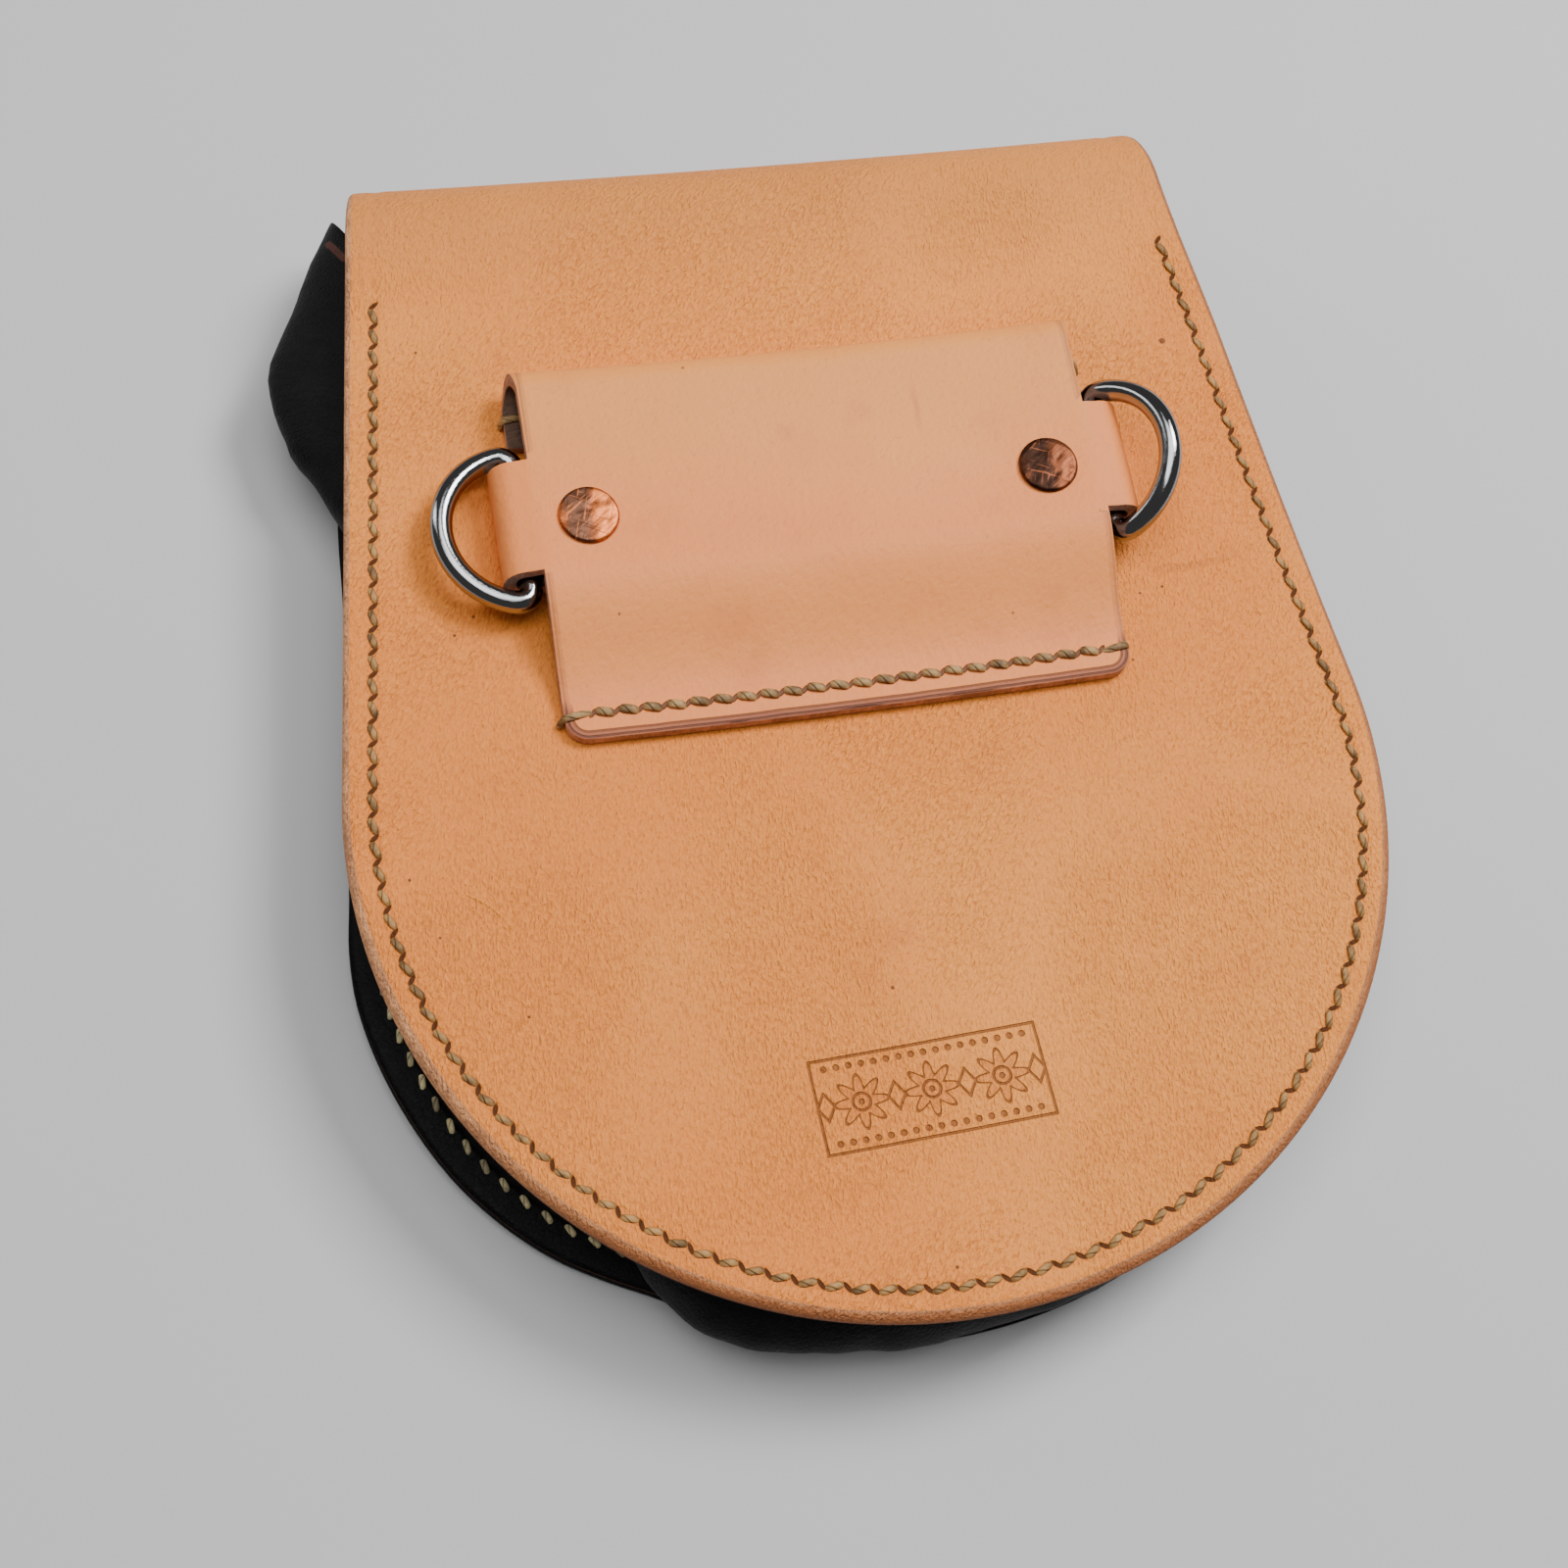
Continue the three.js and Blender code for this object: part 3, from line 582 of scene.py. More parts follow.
def stitch_skin(first, last, surface, width, thick, crown, dive):
    """A stitch lying from first to last on a surface that gives the place of (s, n)."""
    ends = [Vector(surface(*spot)) for spot in (first, last)]
    way = (ends[1] - ends[0]).normalized()
    sideways = way.cross(Vector((0.0, 0.0, 1.0))).normalized()
    over = sideways.cross(way)

    def skin(t, angle):
        end = abs(2 * t - 1)
        middle = ends[0].lerp(ends[1], t) + over * (crown * (1 - end ** 2.5) - dive * end ** 4)
        fat = mixed(0.12, 1.0, (1 - end ** 4) ** 0.5) if end < 1 else 0.02
        across, high = 0.5 * width * fat * math.cos(angle), 0.5 * thick * fat * math.sin(angle)
        return middle + sideways * across + over * high

    return skin


FURROW_SHADE = srgb(64, 42, 20)


def waxed_thread(name, light, dark, plies):
    """Twisted linen; plies is how many furrows between its strands cross a mm of it."""
    finish = Finish(name, Specular_IOR_Level=0.35)
    length, turn = finish.on_sheet("thread")
    from_furrow = (length * plies + turn * 2.0).offset_in(1.0).size()
    furrow = from_furrow.between(0.16, 0.02)
    fibre = finish.clouds(finish.here(), 2600.0, 3.0, 0.6)
    shade = finish.blend(light, dark, finish.clouds(finish.here(), 260.0, 3.0, 0.6).between(0.35, 0.7))
    shade = finish.blend(shade, dark, fibre.between(0.55, 0.75) * 0.6)
    # painted shade in the furrows between the strands
    shade = finish.blend(shade, FURROW_SHADE, furrow * 0.5)
    finish.set(Base_Color=shade, Roughness=0.5 + 0.2 * fibre,
               Normal=finish.relief(fibre * 0.3 - furrow, 0.00016))
    return finish


def on_back(s, n):
    x, y = rim(s, n)
    return x, y, back_top(x, y) + swell(x, y)


STITCH_INSET, STITCH_SLANT, STITCH_WIDTH, STITCH_THICK, STITCH_LENGTH = 0.42, 0.72, 1.35, 0.8, 3.8
linen = waxed_thread("linen_thread", srgb(184, 138, 80), srgb(106, 79, 47), 0.42)
sewing = bmesh.new()
for k in range(-HALF_STITCHES, HALF_STITCHES):
    jog = noise.noise(Vector((k * 1.7, 0.3, 0.0)))
    first = (k * PITCH + STITCH_INSET, STITCH_SLANT + 0.12 * jog)
    last = ((k + 1) * PITCH - STITCH_INSET, -STITCH_SLANT + 0.12 * jog)
    crown = 0.12 + 0.06 * jog
    skin_of = stitch_skin(first, last, on_back, STITCH_WIDTH, STITCH_THICK, crown, 0.7)
    corded(sewing, skin_of, STITCH_LENGTH)
lay(closed(sewing), "rim_stitches", [linen])


# Gusset
# A strip of thin black leather joins the back to the front round the side. Both its margins
# are turned outwards. It has slumped to the left, where it bulges past the back, and its
# loose end stands up by the mouth with the brown flesh side showing.
GAP = 0.35
FRONT_LEATHER, GUSSET_LEATHER = 1.5, 1.3
FRONT_DROOP = 2.7
BULGE, SPREAD, EAR_RISE, EAR_START, FOLD_INSET = 20.0, 4.7, 25.0, 0.86, 1.5
LEFT_SIDE = [  # share of the half seam, share of BULGE, share of SPREAD
    (0.0, 0.345, 0.0), (0.06, 0.42, 0.12), (0.1, 0.47, 0.12), (0.15, 0.545, 0.05), (0.2, 0.4, 0.0),
    (0.235, 0.1, 0.28), (0.28, -0.1, 0.7), (0.34, -0.12, 0.98), (0.39, -0.125, 1.0), (0.475, -0.12, 0.85),
    (0.515, -0.11, 0.58), (0.555, -0.1, 0.2), (0.62, -0.08, 0.0), (0.7, -0.06, 0.15), (0.79, -0.02, 0.4),
    (0.843, 0.4, 0.6), (0.871, 0.56, 0.64), (0.9, 0.79, 0.64), (0.951, 1.0, 0.6), (0.987, 0.94, 0.55),
    (1.04, 0.71, 0.5), (1.1, 0.47, 0.5)]
RIGHT_SIDE = [
    (0.0, 0.345, 0.0), (0.11, 0.28, -0.1), (0.22, 0.08, -0.2), (0.29, -0.1, -0.2), (0.5, -0.14, -0.2),
    (0.8, -0.14, -0.1), (1.09, -0.12, 0.0)]
BULGE_COLUMN, SPREAD_COLUMN = 1, 2


def along(s, column):
    """A column of the side's table at s along the seam, on a smooth curve between its rows."""
    side, at = (LEFT_SIDE if s < 0 else RIGHT_SIDE), abs(s) / SEAM_END
    last = len(side) - 1
    i = 0
    while i < last - 1 and at > side[i + 1][0]:
        i += 1

    def slope(k):
        a, b = side[max(k - 1, 0)], side[min(k + 1, last)]
        return (b[column] - a[column]) / (b[0] - a[0])

    span = side[i + 1][0] - side[i][0]
    t = min(max((at - side[i][0]) / span, 0.0), 1.0)
    bend = t * (1 - t) * ((1 - t) * slope(i) - t * slope(i + 1)) * span
    return mixed(side[i][column], side[i + 1][column], eased(t, 0, 1)) + bend


def front_spread(s):
    return SPREAD * along(s, SPREAD_COLUMN)


def bulge_out(s):
    return BULGE * along(s, BULGE_COLUMN)


def front_top(y):
    sag = FRONT_DROOP * (1 - eased(y, 0, FLAP_END - SEAM_MARGIN))
    return BACK_LEATHER + GAP + FRONT_LEATHER - sag


def back_stretch(x, y):
    across = (back_top(x + 0.5, y) - back_top(x - 0.5, y))
    up = (back_top(x, y + 0.5) - back_top(x, y - 0.5))
    return math.hypot(1, across, up)


HALF_GUSSET = GUSSET_LEATHER / 2
FOLD = GUSSET_LEATHER  # radius of each turned margin
GUSSET_MARGIN = SEAM_MARGIN - GAP
gusset_section = [("margin", mixed(GUSSET_MARGIN, FOLD - FOLD_INSET, k / 4), 0) for k in range(4)]
gusset_section += [("fold", math.pi / 2 * k / 3, 0) for k in range(3)]
gusset_section += [("wall", k / 18, None) for k in range(19)]
gusset_section += [("fold", math.pi / 2 * (1 - k / 3), 1) for k in range(1, 4)]
gusset_section += [("margin", mixed(FOLD - FOLD_INSET, GUSSET_MARGIN, k / 4), 1) for k in range(1, 5)]
GUSSET_ROWS = 300


def margin_height(x, y, level):
    """Middle of the strip's margin: level 0 is the one under the back, 1 the one on the front."""
    if level:
        return front_top(y) + GAP + HALF_GUSSET
    return back_top(x, y) - (BACK_LEATHER + GAP + HALF_GUSSET) * back_stretch(x, y)


def gusset_place(column, row):
    s = SEAM_END * mixed(-1, 1, row / GUSSET_ROWS)
    spread = front_spread(s)
    kind, value, level = gusset_section[column]
    if kind == "margin":
        x, y = rim(s, value + level * spread)
        return Vector((x, y, margin_height(x, y, level)))
    if kind == "fold":
        x, y = rim(s, FOLD - FOLD_INSET - FOLD * math.sin(value) + level * spread)
        drop = FOLD * (1 - math.cos(value))
        return Vector((x, y, margin_height(x, y, level) + (drop if level else -drop)))
    out = math.sin(math.pi * value)
    standing = eased(abs(s) / SEAM_END, EAR_START, 1)
    place_on = s + math.copysign(EAR_RISE * standing * math.sqrt(abs(out)), s)
    crumple = noise.noise(Vector((place_on * 0.07, value * 1.9, 2.0))) * 1.3
    crumple += noise.noise(Vector((place_on * 0.2, value * 4, 6.0))) * 0.45
    swell_out = bulge_out(place_on) * out
    ripple = crumple * out * min(abs(swell_out) / 8, 1.0)
    x, y = rim(place_on, value * spread - FOLD_INSET + swell_out + ripple)
    seam_x, seam_y = rim(s, 0)
    top = margin_height(seam_x, seam_y, 0) - FOLD
    foot = margin_height(seam_x, seam_y, 1) + FOLD
    return Vector((x, y, mixed(top, foot, value)))


BLACK_DEEP, BLACK_LIGHT, BLACK_WORN = srgb(9, 9, 10), srgb(16, 16, 17), srgb(34, 32, 31)
CUT_BROWN = srgb(84, 52, 44)


def black_leather(name, worn, raw=None):
    """raw is a line on it, from one place to another, where the brown of a cut end shows."""
    finish = Finish(name, Specular_IOR_Level=0.14)
    grain = finish.cells(finish.here(turn=25, stretch=(1.0, 1.4, 1.0)), 900.0).between(0.0, 0.25)
    creases = finish.clouds(finish.here(turn=-20, stretch=(1.0, 3.0, 1.5)), 150.0, 5.0, 0.7)
    wear = finish.clouds(finish.here(), 60.0, 4.0, 0.65).between(0.5, 0.75)
    shade = finish.blend(BLACK_DEEP, BLACK_LIGHT, creases.between(0.4, 0.7))
    shade = finish.blend(shade, BLACK_WORN, wear * worn)
    if raw:
        (from_x, from_y), (to_x, to_y) = raw
        along_x, along_y = to_x - from_x, to_y - from_y
        east, north = finish.from_spot(from_x, from_y)
        share = ((east * along_x + north * along_y) / (along_x ** 2 + along_y ** 2)).most(0.0).least(1.0)
        east, north = east - share * along_x, north - share * along_y
        near = (east * east + north * north).between(0.7, 0.15)
        shade = finish.blend(shade, CUT_BROWN, near * creases.between(0.3, 0.5))
    finish.set(Base_Color=shade, Roughness=0.42 + 0.25 * creases + 0.1 * wear,
               Normal=finish.relief(grain * 0.25 + creases * 0.9, 0.00022))
    return finish


def flesh_side(name, light, dark):
    finish = Finish(name, Specular_IOR_Level=0.25)
    nap = finish.clouds(finish.here(turn=15, stretch=(1.0, 3.0, 1.0)), 700.0, 4.0, 0.7)
    patches = finish.clouds(finish.here(), 90.0, 3.0, 0.6)
    shade = finish.blend(dark, light, (nap * 0.6 + patches * 0.5).between(0.35, 0.7))
    finish.set(Base_Color=shade, Roughness=0.75 + 0.15 * nap, Normal=finish.relief(nap, 0.00025))
    return finish


def thicken(piece, thickness, shift, back_offset=0, edge_offset=0):
    wall = piece.modifiers.new("wall", "SOLIDIFY")
    wall.thickness = thickness * MM
    wall.offset = shift
    wall.use_even_offset = True
    wall.material_offset = back_offset
    wall.material_offset_rim = edge_offset


def soften_edges(piece, width, segments):
    edges = piece.modifiers.new("edges", "BEVEL")
    edges.width = width * MM
    edges.segments = segments
    edges.limit_method = "ANGLE"
    edges.angle_limit = math.radians(55)
    edges.harden_normals = False


def facing(mesh, faces, way):
    """Turns all faces of a mesh alike, so that the given ones face the given way."""
    bmesh.ops.recalc_face_normals(mesh, faces=mesh.faces)
    if sum(face.normal.dot(Vector(way)) for face in faces) < 0:
        bmesh.ops.reverse_faces(mesh, faces=mesh.faces)


CUT_END = ((-80.0, 101.2), (-82.8, 106.8))  # in the part's frame, mm
black = black_leather("black_leather", 0.3)
strip_black = black_leather("gusset_leather", 0.3, CUT_END)
flesh = flesh_side("black_leather_flesh_side", srgb(104, 62, 42), srgb(44, 26, 18))
strip = moulded("gusset", len(gusset_section) - 1, GUSSET_ROWS, gusset_place)
middle_wall = [f for f in strip.faces if f.calc_center_median().y < 4 and 8 < f.calc_center_median().z < 17]
facing(strip, middle_wall, (0, -1, 0))
gusset = lay(strip, "gusset_leather", [strip_black, flesh, flesh],
             stands_for=["gusset"])
thicken(gusset, GUSSET_LEATHER, 0.0, 1, 2)


# Front panel
# Thin black leather, cut to the same outline as the back. It lies on the flap, and its edge
# shows at the lower left where the pouch has slumped.
FRONT_ROWS, FRONT_COLUMNS = 110, 40


def front_place(column, row):
    s = SEAM_END * row / FRONT_ROWS
    left, right = rim(-s, SEAM_MARGIN + front_spread(-s)), rim(s, SEAM_MARGIN + front_spread(s))
    x, y = (mixed(a, b, column / FRONT_COLUMNS) for a, b in zip(left, right))
    if row == 0:
        x = 0.0
    return Vector((x, y, front_top(y)))


front = moulded("front", FRONT_COLUMNS, FRONT_ROWS, front_place)
bmesh.ops.remove_doubles(front, verts=front.verts, dist=0.01)
facing(front, front.faces, (0, 0, 1))
front_panel = lay(front, "front_panel_leather", [black], stands_for=["front_panel"])
thicken(front_panel, FRONT_LEATHER, -1.0)
soften_edges(front_panel, 0.35, 2)


# Front stitches
# Cream thread sews the gusset's lower margin to the front panel, along the same seam moved
# outwards with the slumped front.
def on_front_margin(s, n):
    x, y = rim(s, n + front_spread(s))
    return x, y, front_top(y) + GAP + GUSSET_LEATHER + 0.05


CREAM_INSET, CREAM_SLANT, CREAM_WIDTH, CREAM_THICK, CREAM_LENGTH = 0.75, 0.6, 1.2, 0.85, 3.2
cream = waxed_thread("cream_thread", srgb(244, 226, 172), srgb(150, 138, 108), 0.42)
front_sewing = bmesh.new()
for k in range(-HALF_STITCHES, HALF_STITCHES):
    first, last = (k * PITCH + CREAM_INSET, -CREAM_SLANT), ((k + 1) * PITCH - CREAM_INSET, CREAM_SLANT)
    skin_of = stitch_skin(first, last, on_front_margin, CREAM_WIDTH, CREAM_THICK, 0.25, 0.5)
    corded(front_sewing, skin_of, CREAM_LENGTH)
lay(closed(front_sewing), "front_stitches", [cream])


# Belt loop
# A band of paler, smoother leather, sewn down along its lower edge, arched over the belt and
# rolled over at its top. A tab cut in one with it at each side turns round a ring's bar.
LOOP_LEATHER, LOOP_X, LOOP_HALF, LOOP_UNDER_HALF = 2.3, -1.2, 52.5, 55.3
LOOP_BOTTOM, LOOP_SEWN, LOOP_RAMP, LOOP_FOLD = 104.3, 7.0, 22.5, 170.3
LOOP_RISE, LOOP_UNDER, LOOP_CORNER, LOOP_TURN = 10.7, 7.4, 4.2, math.radians(0.5)
TAB_Y, TAB_END, TAB_CORNER, TAB_WRAP = 145.0, 36.0, 4.0, math.radians(225)
WIRE, RING_INNER, TAB_CLEARANCE, RING_PLAY, BAR_CLEARANCE = 4.24, 25.0, 0.5, 0.5, 0.3
WIRE_RADIUS = WIRE / 2
TAB_RADIUS = WIRE_RADIUS + RING_PLAY + LOOP_LEATHER
BAR_X = LOOP_HALF + BAR_CLEARANCE + WIRE_RADIUS
BAR_HEIGHT = GAP + TAB_RADIUS
TAB_HALF = math.sqrt((RING_INNER / 2 - TAB_CLEARANCE) ** 2 - TAB_RADIUS ** 2)
CORNER_ROWS, LOW_ROWS, TAB_STEPS, HIGH_ROWS, ROLL_STEPS = 6, 22, 16, 10, 18
TAB_FIRST_ROW = CORNER_ROWS + LOW_ROWS


def loop_lift(y):
    start = LOOP_BOTTOM + LOOP_SEWN
    return mixed(GAP + LOOP_LEATHER, LOOP_RISE, eased(y, start, start + LOOP_RAMP))


def on_loop(x, y, height):
    """A place on the loop, x from its middle, at a height over the back. The loop is sewn on
    turned by a small angle."""
    up, cos, sin = y - TAB_Y, math.cos(LOOP_TURN), math.sin(LOOP_TURN)
    x, y = LOOP_X + x * cos - up * sin, TAB_Y + x * sin + up * cos
    return Vector((x, y, back_top(x, y) + height))


def loop_rows():
    """Height on the back, height over it and half width, from the sewn edge round the roll."""
    rows, radius = [], (LOOP_RISE - GAP) / 2
    for k in range(CORNER_ROWS):
        turn = math.pi / 2 * k / CORNER_ROWS
        y = LOOP_BOTTOM + LOOP_CORNER * (1 - math.cos(turn))
        rows.append((y, loop_lift(y), LOOP_HALF - LOOP_CORNER * (1 - math.sin(turn))))
    low, high = TAB_Y - TAB_HALF, TAB_Y + TAB_HALF
    stretches = ((LOOP_BOTTOM + LOOP_CORNER, low, LOW_ROWS), (low, high, TAB_STEPS),
                 (high, LOOP_FOLD, HIGH_ROWS))
    for start, end, count in stretches:
        for k in range(count):
            y = mixed(start, end, k / count)
            rows.append((y, loop_lift(y), LOOP_HALF))
    for k in range(ROLL_STEPS + 1):
        turn = math.pi * k / ROLL_STEPS
        half = mixed(LOOP_HALF, LOOP_UNDER_HALF, k / ROLL_STEPS)
        rows.append((LOOP_FOLD + radius * math.sin(turn), GAP + radius * (1 + math.cos(turn)), half))
    rows += [(LOOP_FOLD - LOOP_UNDER * k / 3, GAP, LOOP_UNDER_HALF) for k in range(1, 4)]
    return rows


LOOP_PITCH, LOOP_STITCHED = 4.3, 109.2
strap_rows = loop_rows()
STRAP_COLUMNS, STRAP_STEPS = 48, len(strap_rows) - 1
LAST_WAVY_ROW = 59  # the slight waves of the band end within its roll


def strap_wave(x, y):
    return 0.22 * noise.noise(Vector((x * 0.05, y * 0.06, 11.0))) - 0.12


def strap_place(column, row):
    y, height, half = strap_rows[row]
    x = half * mixed(-1, 1, column / STRAP_COLUMNS)
    lifted = eased(height, GAP + LOOP_LEATHER + 1, LOOP_RISE - 1) if row <= LAST_WAVY_ROW else 0.0
    return on_loop(x, y, height + strap_wave(x, y) * lifted * eased(LOOP_HALF - abs(x), 0, 9))


def strap_sheet(column, row):
    return (strap_rows[row][2] * mixed(-1, 1, column / STRAP_COLUMNS), strap_rows[row][0])


def tab_path():
    """Places along the tab from the loop's side: x from the middle, height, half width."""
    path = [(mixed(LOOP_HALF, BAR_X, 0.5), mixed(LOOP_RISE, BAR_HEIGHT + TAB_RADIUS, 0.5), TAB_HALF)]
    for k in range(21):
        turn = TAB_WRAP * k / 20
        path.append((BAR_X + TAB_RADIUS * math.sin(turn), BAR_HEIGHT + TAB_RADIUS * math.cos(turn), TAB_HALF))
    under = LOOP_RISE - 2 * LOOP_LEATHER - GAP
    x, height, _ = path[-1]
    path.append((x - (under - height) / math.tan(TAB_WRAP), under, TAB_HALF))
    for k in range(6):
        turn = math.pi / 2 * k / 5
        half = TAB_HALF - TAB_CORNER * (1 - math.cos(turn))
        path.append((TAB_END + TAB_CORNER * (1 - math.sin(turn)), under, half))
    return path


def grow_tab(mesh, hand, tab):
    """Extrudes the side edge of the band along the tab's path."""
    side = sorted(tab, key=lambda v: v.co.y)
    for x, height, half in tab_path():
        edges = [mesh.edges.get((a, b)) for a, b in zip(side, side[1:])]
        grown = bmesh.ops.extrude_edge_only(mesh, edges=edges)["geom"]
        side = sorted([g for g in grown if isinstance(g, bmesh.types.BMVert)], key=lambda v: v.co.y)
        for k, vert in enumerate(side):
            across = mixed(-1, 1, k / TAB_STEPS)
            vert.co = on_loop(hand * x, TAB_Y + half * across, height)


TAB_UV = (-200.0, 140.0)  # off the band, so that its stitches and edge lines stay off the tabs
strap = bmesh.new()
bmesh.ops.create_grid(strap, x_segments=STRAP_COLUMNS, y_segments=STRAP_STEPS, size=0.5)
spots = corners(strap.verts, STRAP_COLUMNS, STRAP_STEPS)
for vert, spot in spots.items():
    vert.co = strap_place(*spot)
for hand, column in ((-1, 0), (1, STRAP_COLUMNS)):
    tab_rows = range(TAB_FIRST_ROW, TAB_FIRST_ROW + TAB_STEPS + 1)
    grow_tab(strap, hand, [v for v, (c, r) in spots.items() if c == column and r in tab_rows])
strap_layer = strap.loops.layers.uv.new("strap")
for face in strap.faces:
    for loop in face.loops:
        loop[strap_layer].uv = strap_sheet(*spots[loop.vert]) if loop.vert in spots else TAB_UV
top_faces = [f for f in strap.faces if f.calc_center_median().z > back_top(0, TAB_Y) + LOOP_RISE - 1]
facing(strap, top_faces, (0, 0, 1))

LOOP_LIGHT, LOOP_MID, LOOP_DARK = srgb(248, 158, 84), srgb(243, 141, 72), srgb(206, 114, 62)
LOOP_YELLOW, LOOP_BURNISHED, LOOP_LINE = srgb(236, 152, 74), srgb(156, 88, 60), srgb(84, 46, 34)
LOOP_SPECKS = [(-20.9, 61.3, 0.35), (33.0, 8.0, 0.3), (-39.5, 14.5, 0.3)]
smooth = Finish("loop_leather", Specular_IOR_Level=0.32)
x_on, y_on = smooth.on_sheet("strap")
haze = smooth.clouds(smooth.here(), 16.0, 3.0, 0.55)
fine = smooth.clouds(smooth.here(turn=8, stretch=(2.4, 1.0, 1.0)), 340.0, 5.0, 0.66)
wrinkle = smooth.clouds(smooth.here(turn=40, stretch=(1.0, 1.6, 1.0)), 760.0, 2.0, 0.5, 0.3)
patch = smooth.clouds(smooth.here(offset=(3.0, 0, 0)), 55.0, 4.0, 0.6)
pink = smooth.blend(LOOP_MID, LOOP_LIGHT, haze.between(0.45, 0.75))
pink = smooth.blend(pink, LOOP_YELLOW, y_on.between(140, 166) * 0.8)
# painted light on the lower slope of the band, which faces away from the lamp
pink = smooth.blend(pink, LOOP_LIGHT, y_on.between(111, 119) * y_on.between(136, 126) * 0.6)
stain = scar(smooth, (-38.5, 49.0), 60.0, -6.5, 6.5, 0.9)
pink = smooth.blend(pink, LOOP_DARK, patch.between(0.55, 0.78) * 0.4 + stain * 0.45)
pink = smooth.blend(pink, SLIT_SHADE_AND_SPECK, specks(smooth, LOOP_SPECKS) * 0.7)
pink = smooth.blend(pink, LOOP_LIGHT, fine.between(0.52, 0.72) * 0.35)
pink = smooth.blend(pink, LOOP_DARK, wrinkle.between(0.42, 0.25) * 0.25)
loop_slit = awl_slit(x_on.offset_in(LOOP_PITCH), y_on - LOOP_STITCHED, 1.35, 0.55)
loop_slit = loop_slit * x_on.size().between(50.5, 49.5)
# painted shade in the loop's awl holes
pink = smooth.blend(pink, SLIT_SHADE_AND_SPECK, loop_slit * 0.9)
past_x, past_y = x_on.size() - (LOOP_HALF - LOOP_CORNER), (LOOP_BOTTOM + LOOP_CORNER) - y_on
inset = LOOP_CORNER - (past_x.most(0) ** 2 + past_y.most(0) ** 2) ** 0.5 - past_x.most(past_y).least(0)
wobble = smooth.clouds(smooth.here(), 90.0, 2.0) * 0.4 - 0.2
low = y_on.between(113, 109)
past_tab = (y_on - TAB_Y).size().between(TAB_HALF + 0.3, TAB_HALF + 0.8)
burnished = (0.3 + 0.7 * low) * inset.between(-1.5, -1.0) * past_tab
lines = (inset + wobble - 1.5).size().between(0.3, 0.08) * low
lines = lines + (inset + wobble - 0.5).size().between(0.3, 0.1)
pink = smooth.blend(pink, LOOP_BURNISHED, inset.between(1.5, 1.2) * burnished * (0.6 + 0.6 * patch))
pink = smooth.blend(pink, LOOP_LINE, lines * burnished * 0.8)
height = fine * 0.35 + wrinkle * 0.3 - lines * burnished * 0.4 - loop_slit * 1.2
smooth.set(Base_Color=pink, Roughness=0.46 + 0.16 * fine, Normal=smooth.relief(height, 0.0004))


def cut_edge(name, light, dark):
    finish = Finish(name, Specular_IOR_Level=0.35)
    fibres = finish.clouds(finish.here(stretch=(1.0, 1.0, 0.25)), 1500.0, 4.0, 0.7)
    patches = finish.clouds(finish.here(), 180.0, 3.0, 0.6)
    shade = finish.blend(dark, light, (fibres * 0.6 + patches * 0.6).between(0.4, 0.8))
    finish.set(Base_Color=shade, Roughness=0.55 + 0.2 * fibres, Normal=finish.relief(fibres, 0.0002))
    return finish


loop_edge = cut_edge("loop_cut_edge", srgb(206, 158, 132), srgb(136, 100, 84))
# the flesh side under the band, coloured darker and greyer as painted shade under the loop
shaded_loop_flesh = flesh_side("loop_flesh_side_in_painted_shade", srgb(122, 92, 74), srgb(78, 60, 50))
belt_loop = lay(strap, "belt_loop_leather", [smooth, shaded_loop_flesh, loop_edge],
                stands_for=["belt_loop"])
thicken(belt_loop, LOOP_LEATHER, -1.0, 1, 2)
soften_edges(belt_loop, 0.85, 4)


# Loop stitches
# The same linen, thicker on this smooth leather: a row of slanted stitches holds the band's
# lower edge down, and the first and the last go over its side edges into the back.
def on_band(x, n):
    return on_loop(x, LOOP_STITCHED + n, loop_lift(LOOP_STITCHED) + 0.02)


def bent_skin(path, width, thick):
    """A stitch bent over an edge, along a smooth curve by way of three places."""
    start, over, end = (Vector(spot) for spot in path)

    def skin(t, angle):
        near = start.lerp(over, 2 * t) if t < 0.5 else over.lerp(end, 2 * t - 1)
        middle = start.lerp(over, t).lerp(over.lerp(end, t), t) * 0.5 + near * 0.5
        way = (end - start).normalized()
        sideways = way.cross(Vector((0, 0, 1))).normalized()
        fat = max(1 - abs(2 * t - 1) ** 5, 0.0004) ** 0.5
        outward = sideways.cross((over - start).lerp(end - over, t).normalized())
        across, high = 0.5 * width * fat * math.cos(angle), 0.5 * thick * fat * math.sin(angle)
        return middle + sideways * across + outward * high

    return skin


loop_thread = waxed_thread("loop_thread", srgb(178, 142, 92), srgb(100, 76, 48), 0.38)
LOOP_STITCH_WIDTH, LOOP_STITCH_THICK, LOOP_STITCH_LENGTH = 1.75, 1.25, 4.4
HALF_LOOP_STITCHES = 11
loop_sewing = bmesh.new()
for k in range(-HALF_LOOP_STITCHES, HALF_LOOP_STITCHES):
    jog = noise.noise(Vector((k * 2.1, 4.3, 0.0)))
    first, last = (k * LOOP_PITCH + 0.1, 0.5 + 0.15 * jog), ((k + 1) * LOOP_PITCH - 0.1, -0.5 + 0.15 * jog)
    skin_of = stitch_skin(first, last, on_band, LOOP_STITCH_WIDTH, LOOP_STITCH_THICK, 0.35, 0.7)
    corded(loop_sewing, skin_of, LOOP_STITCH_LENGTH)
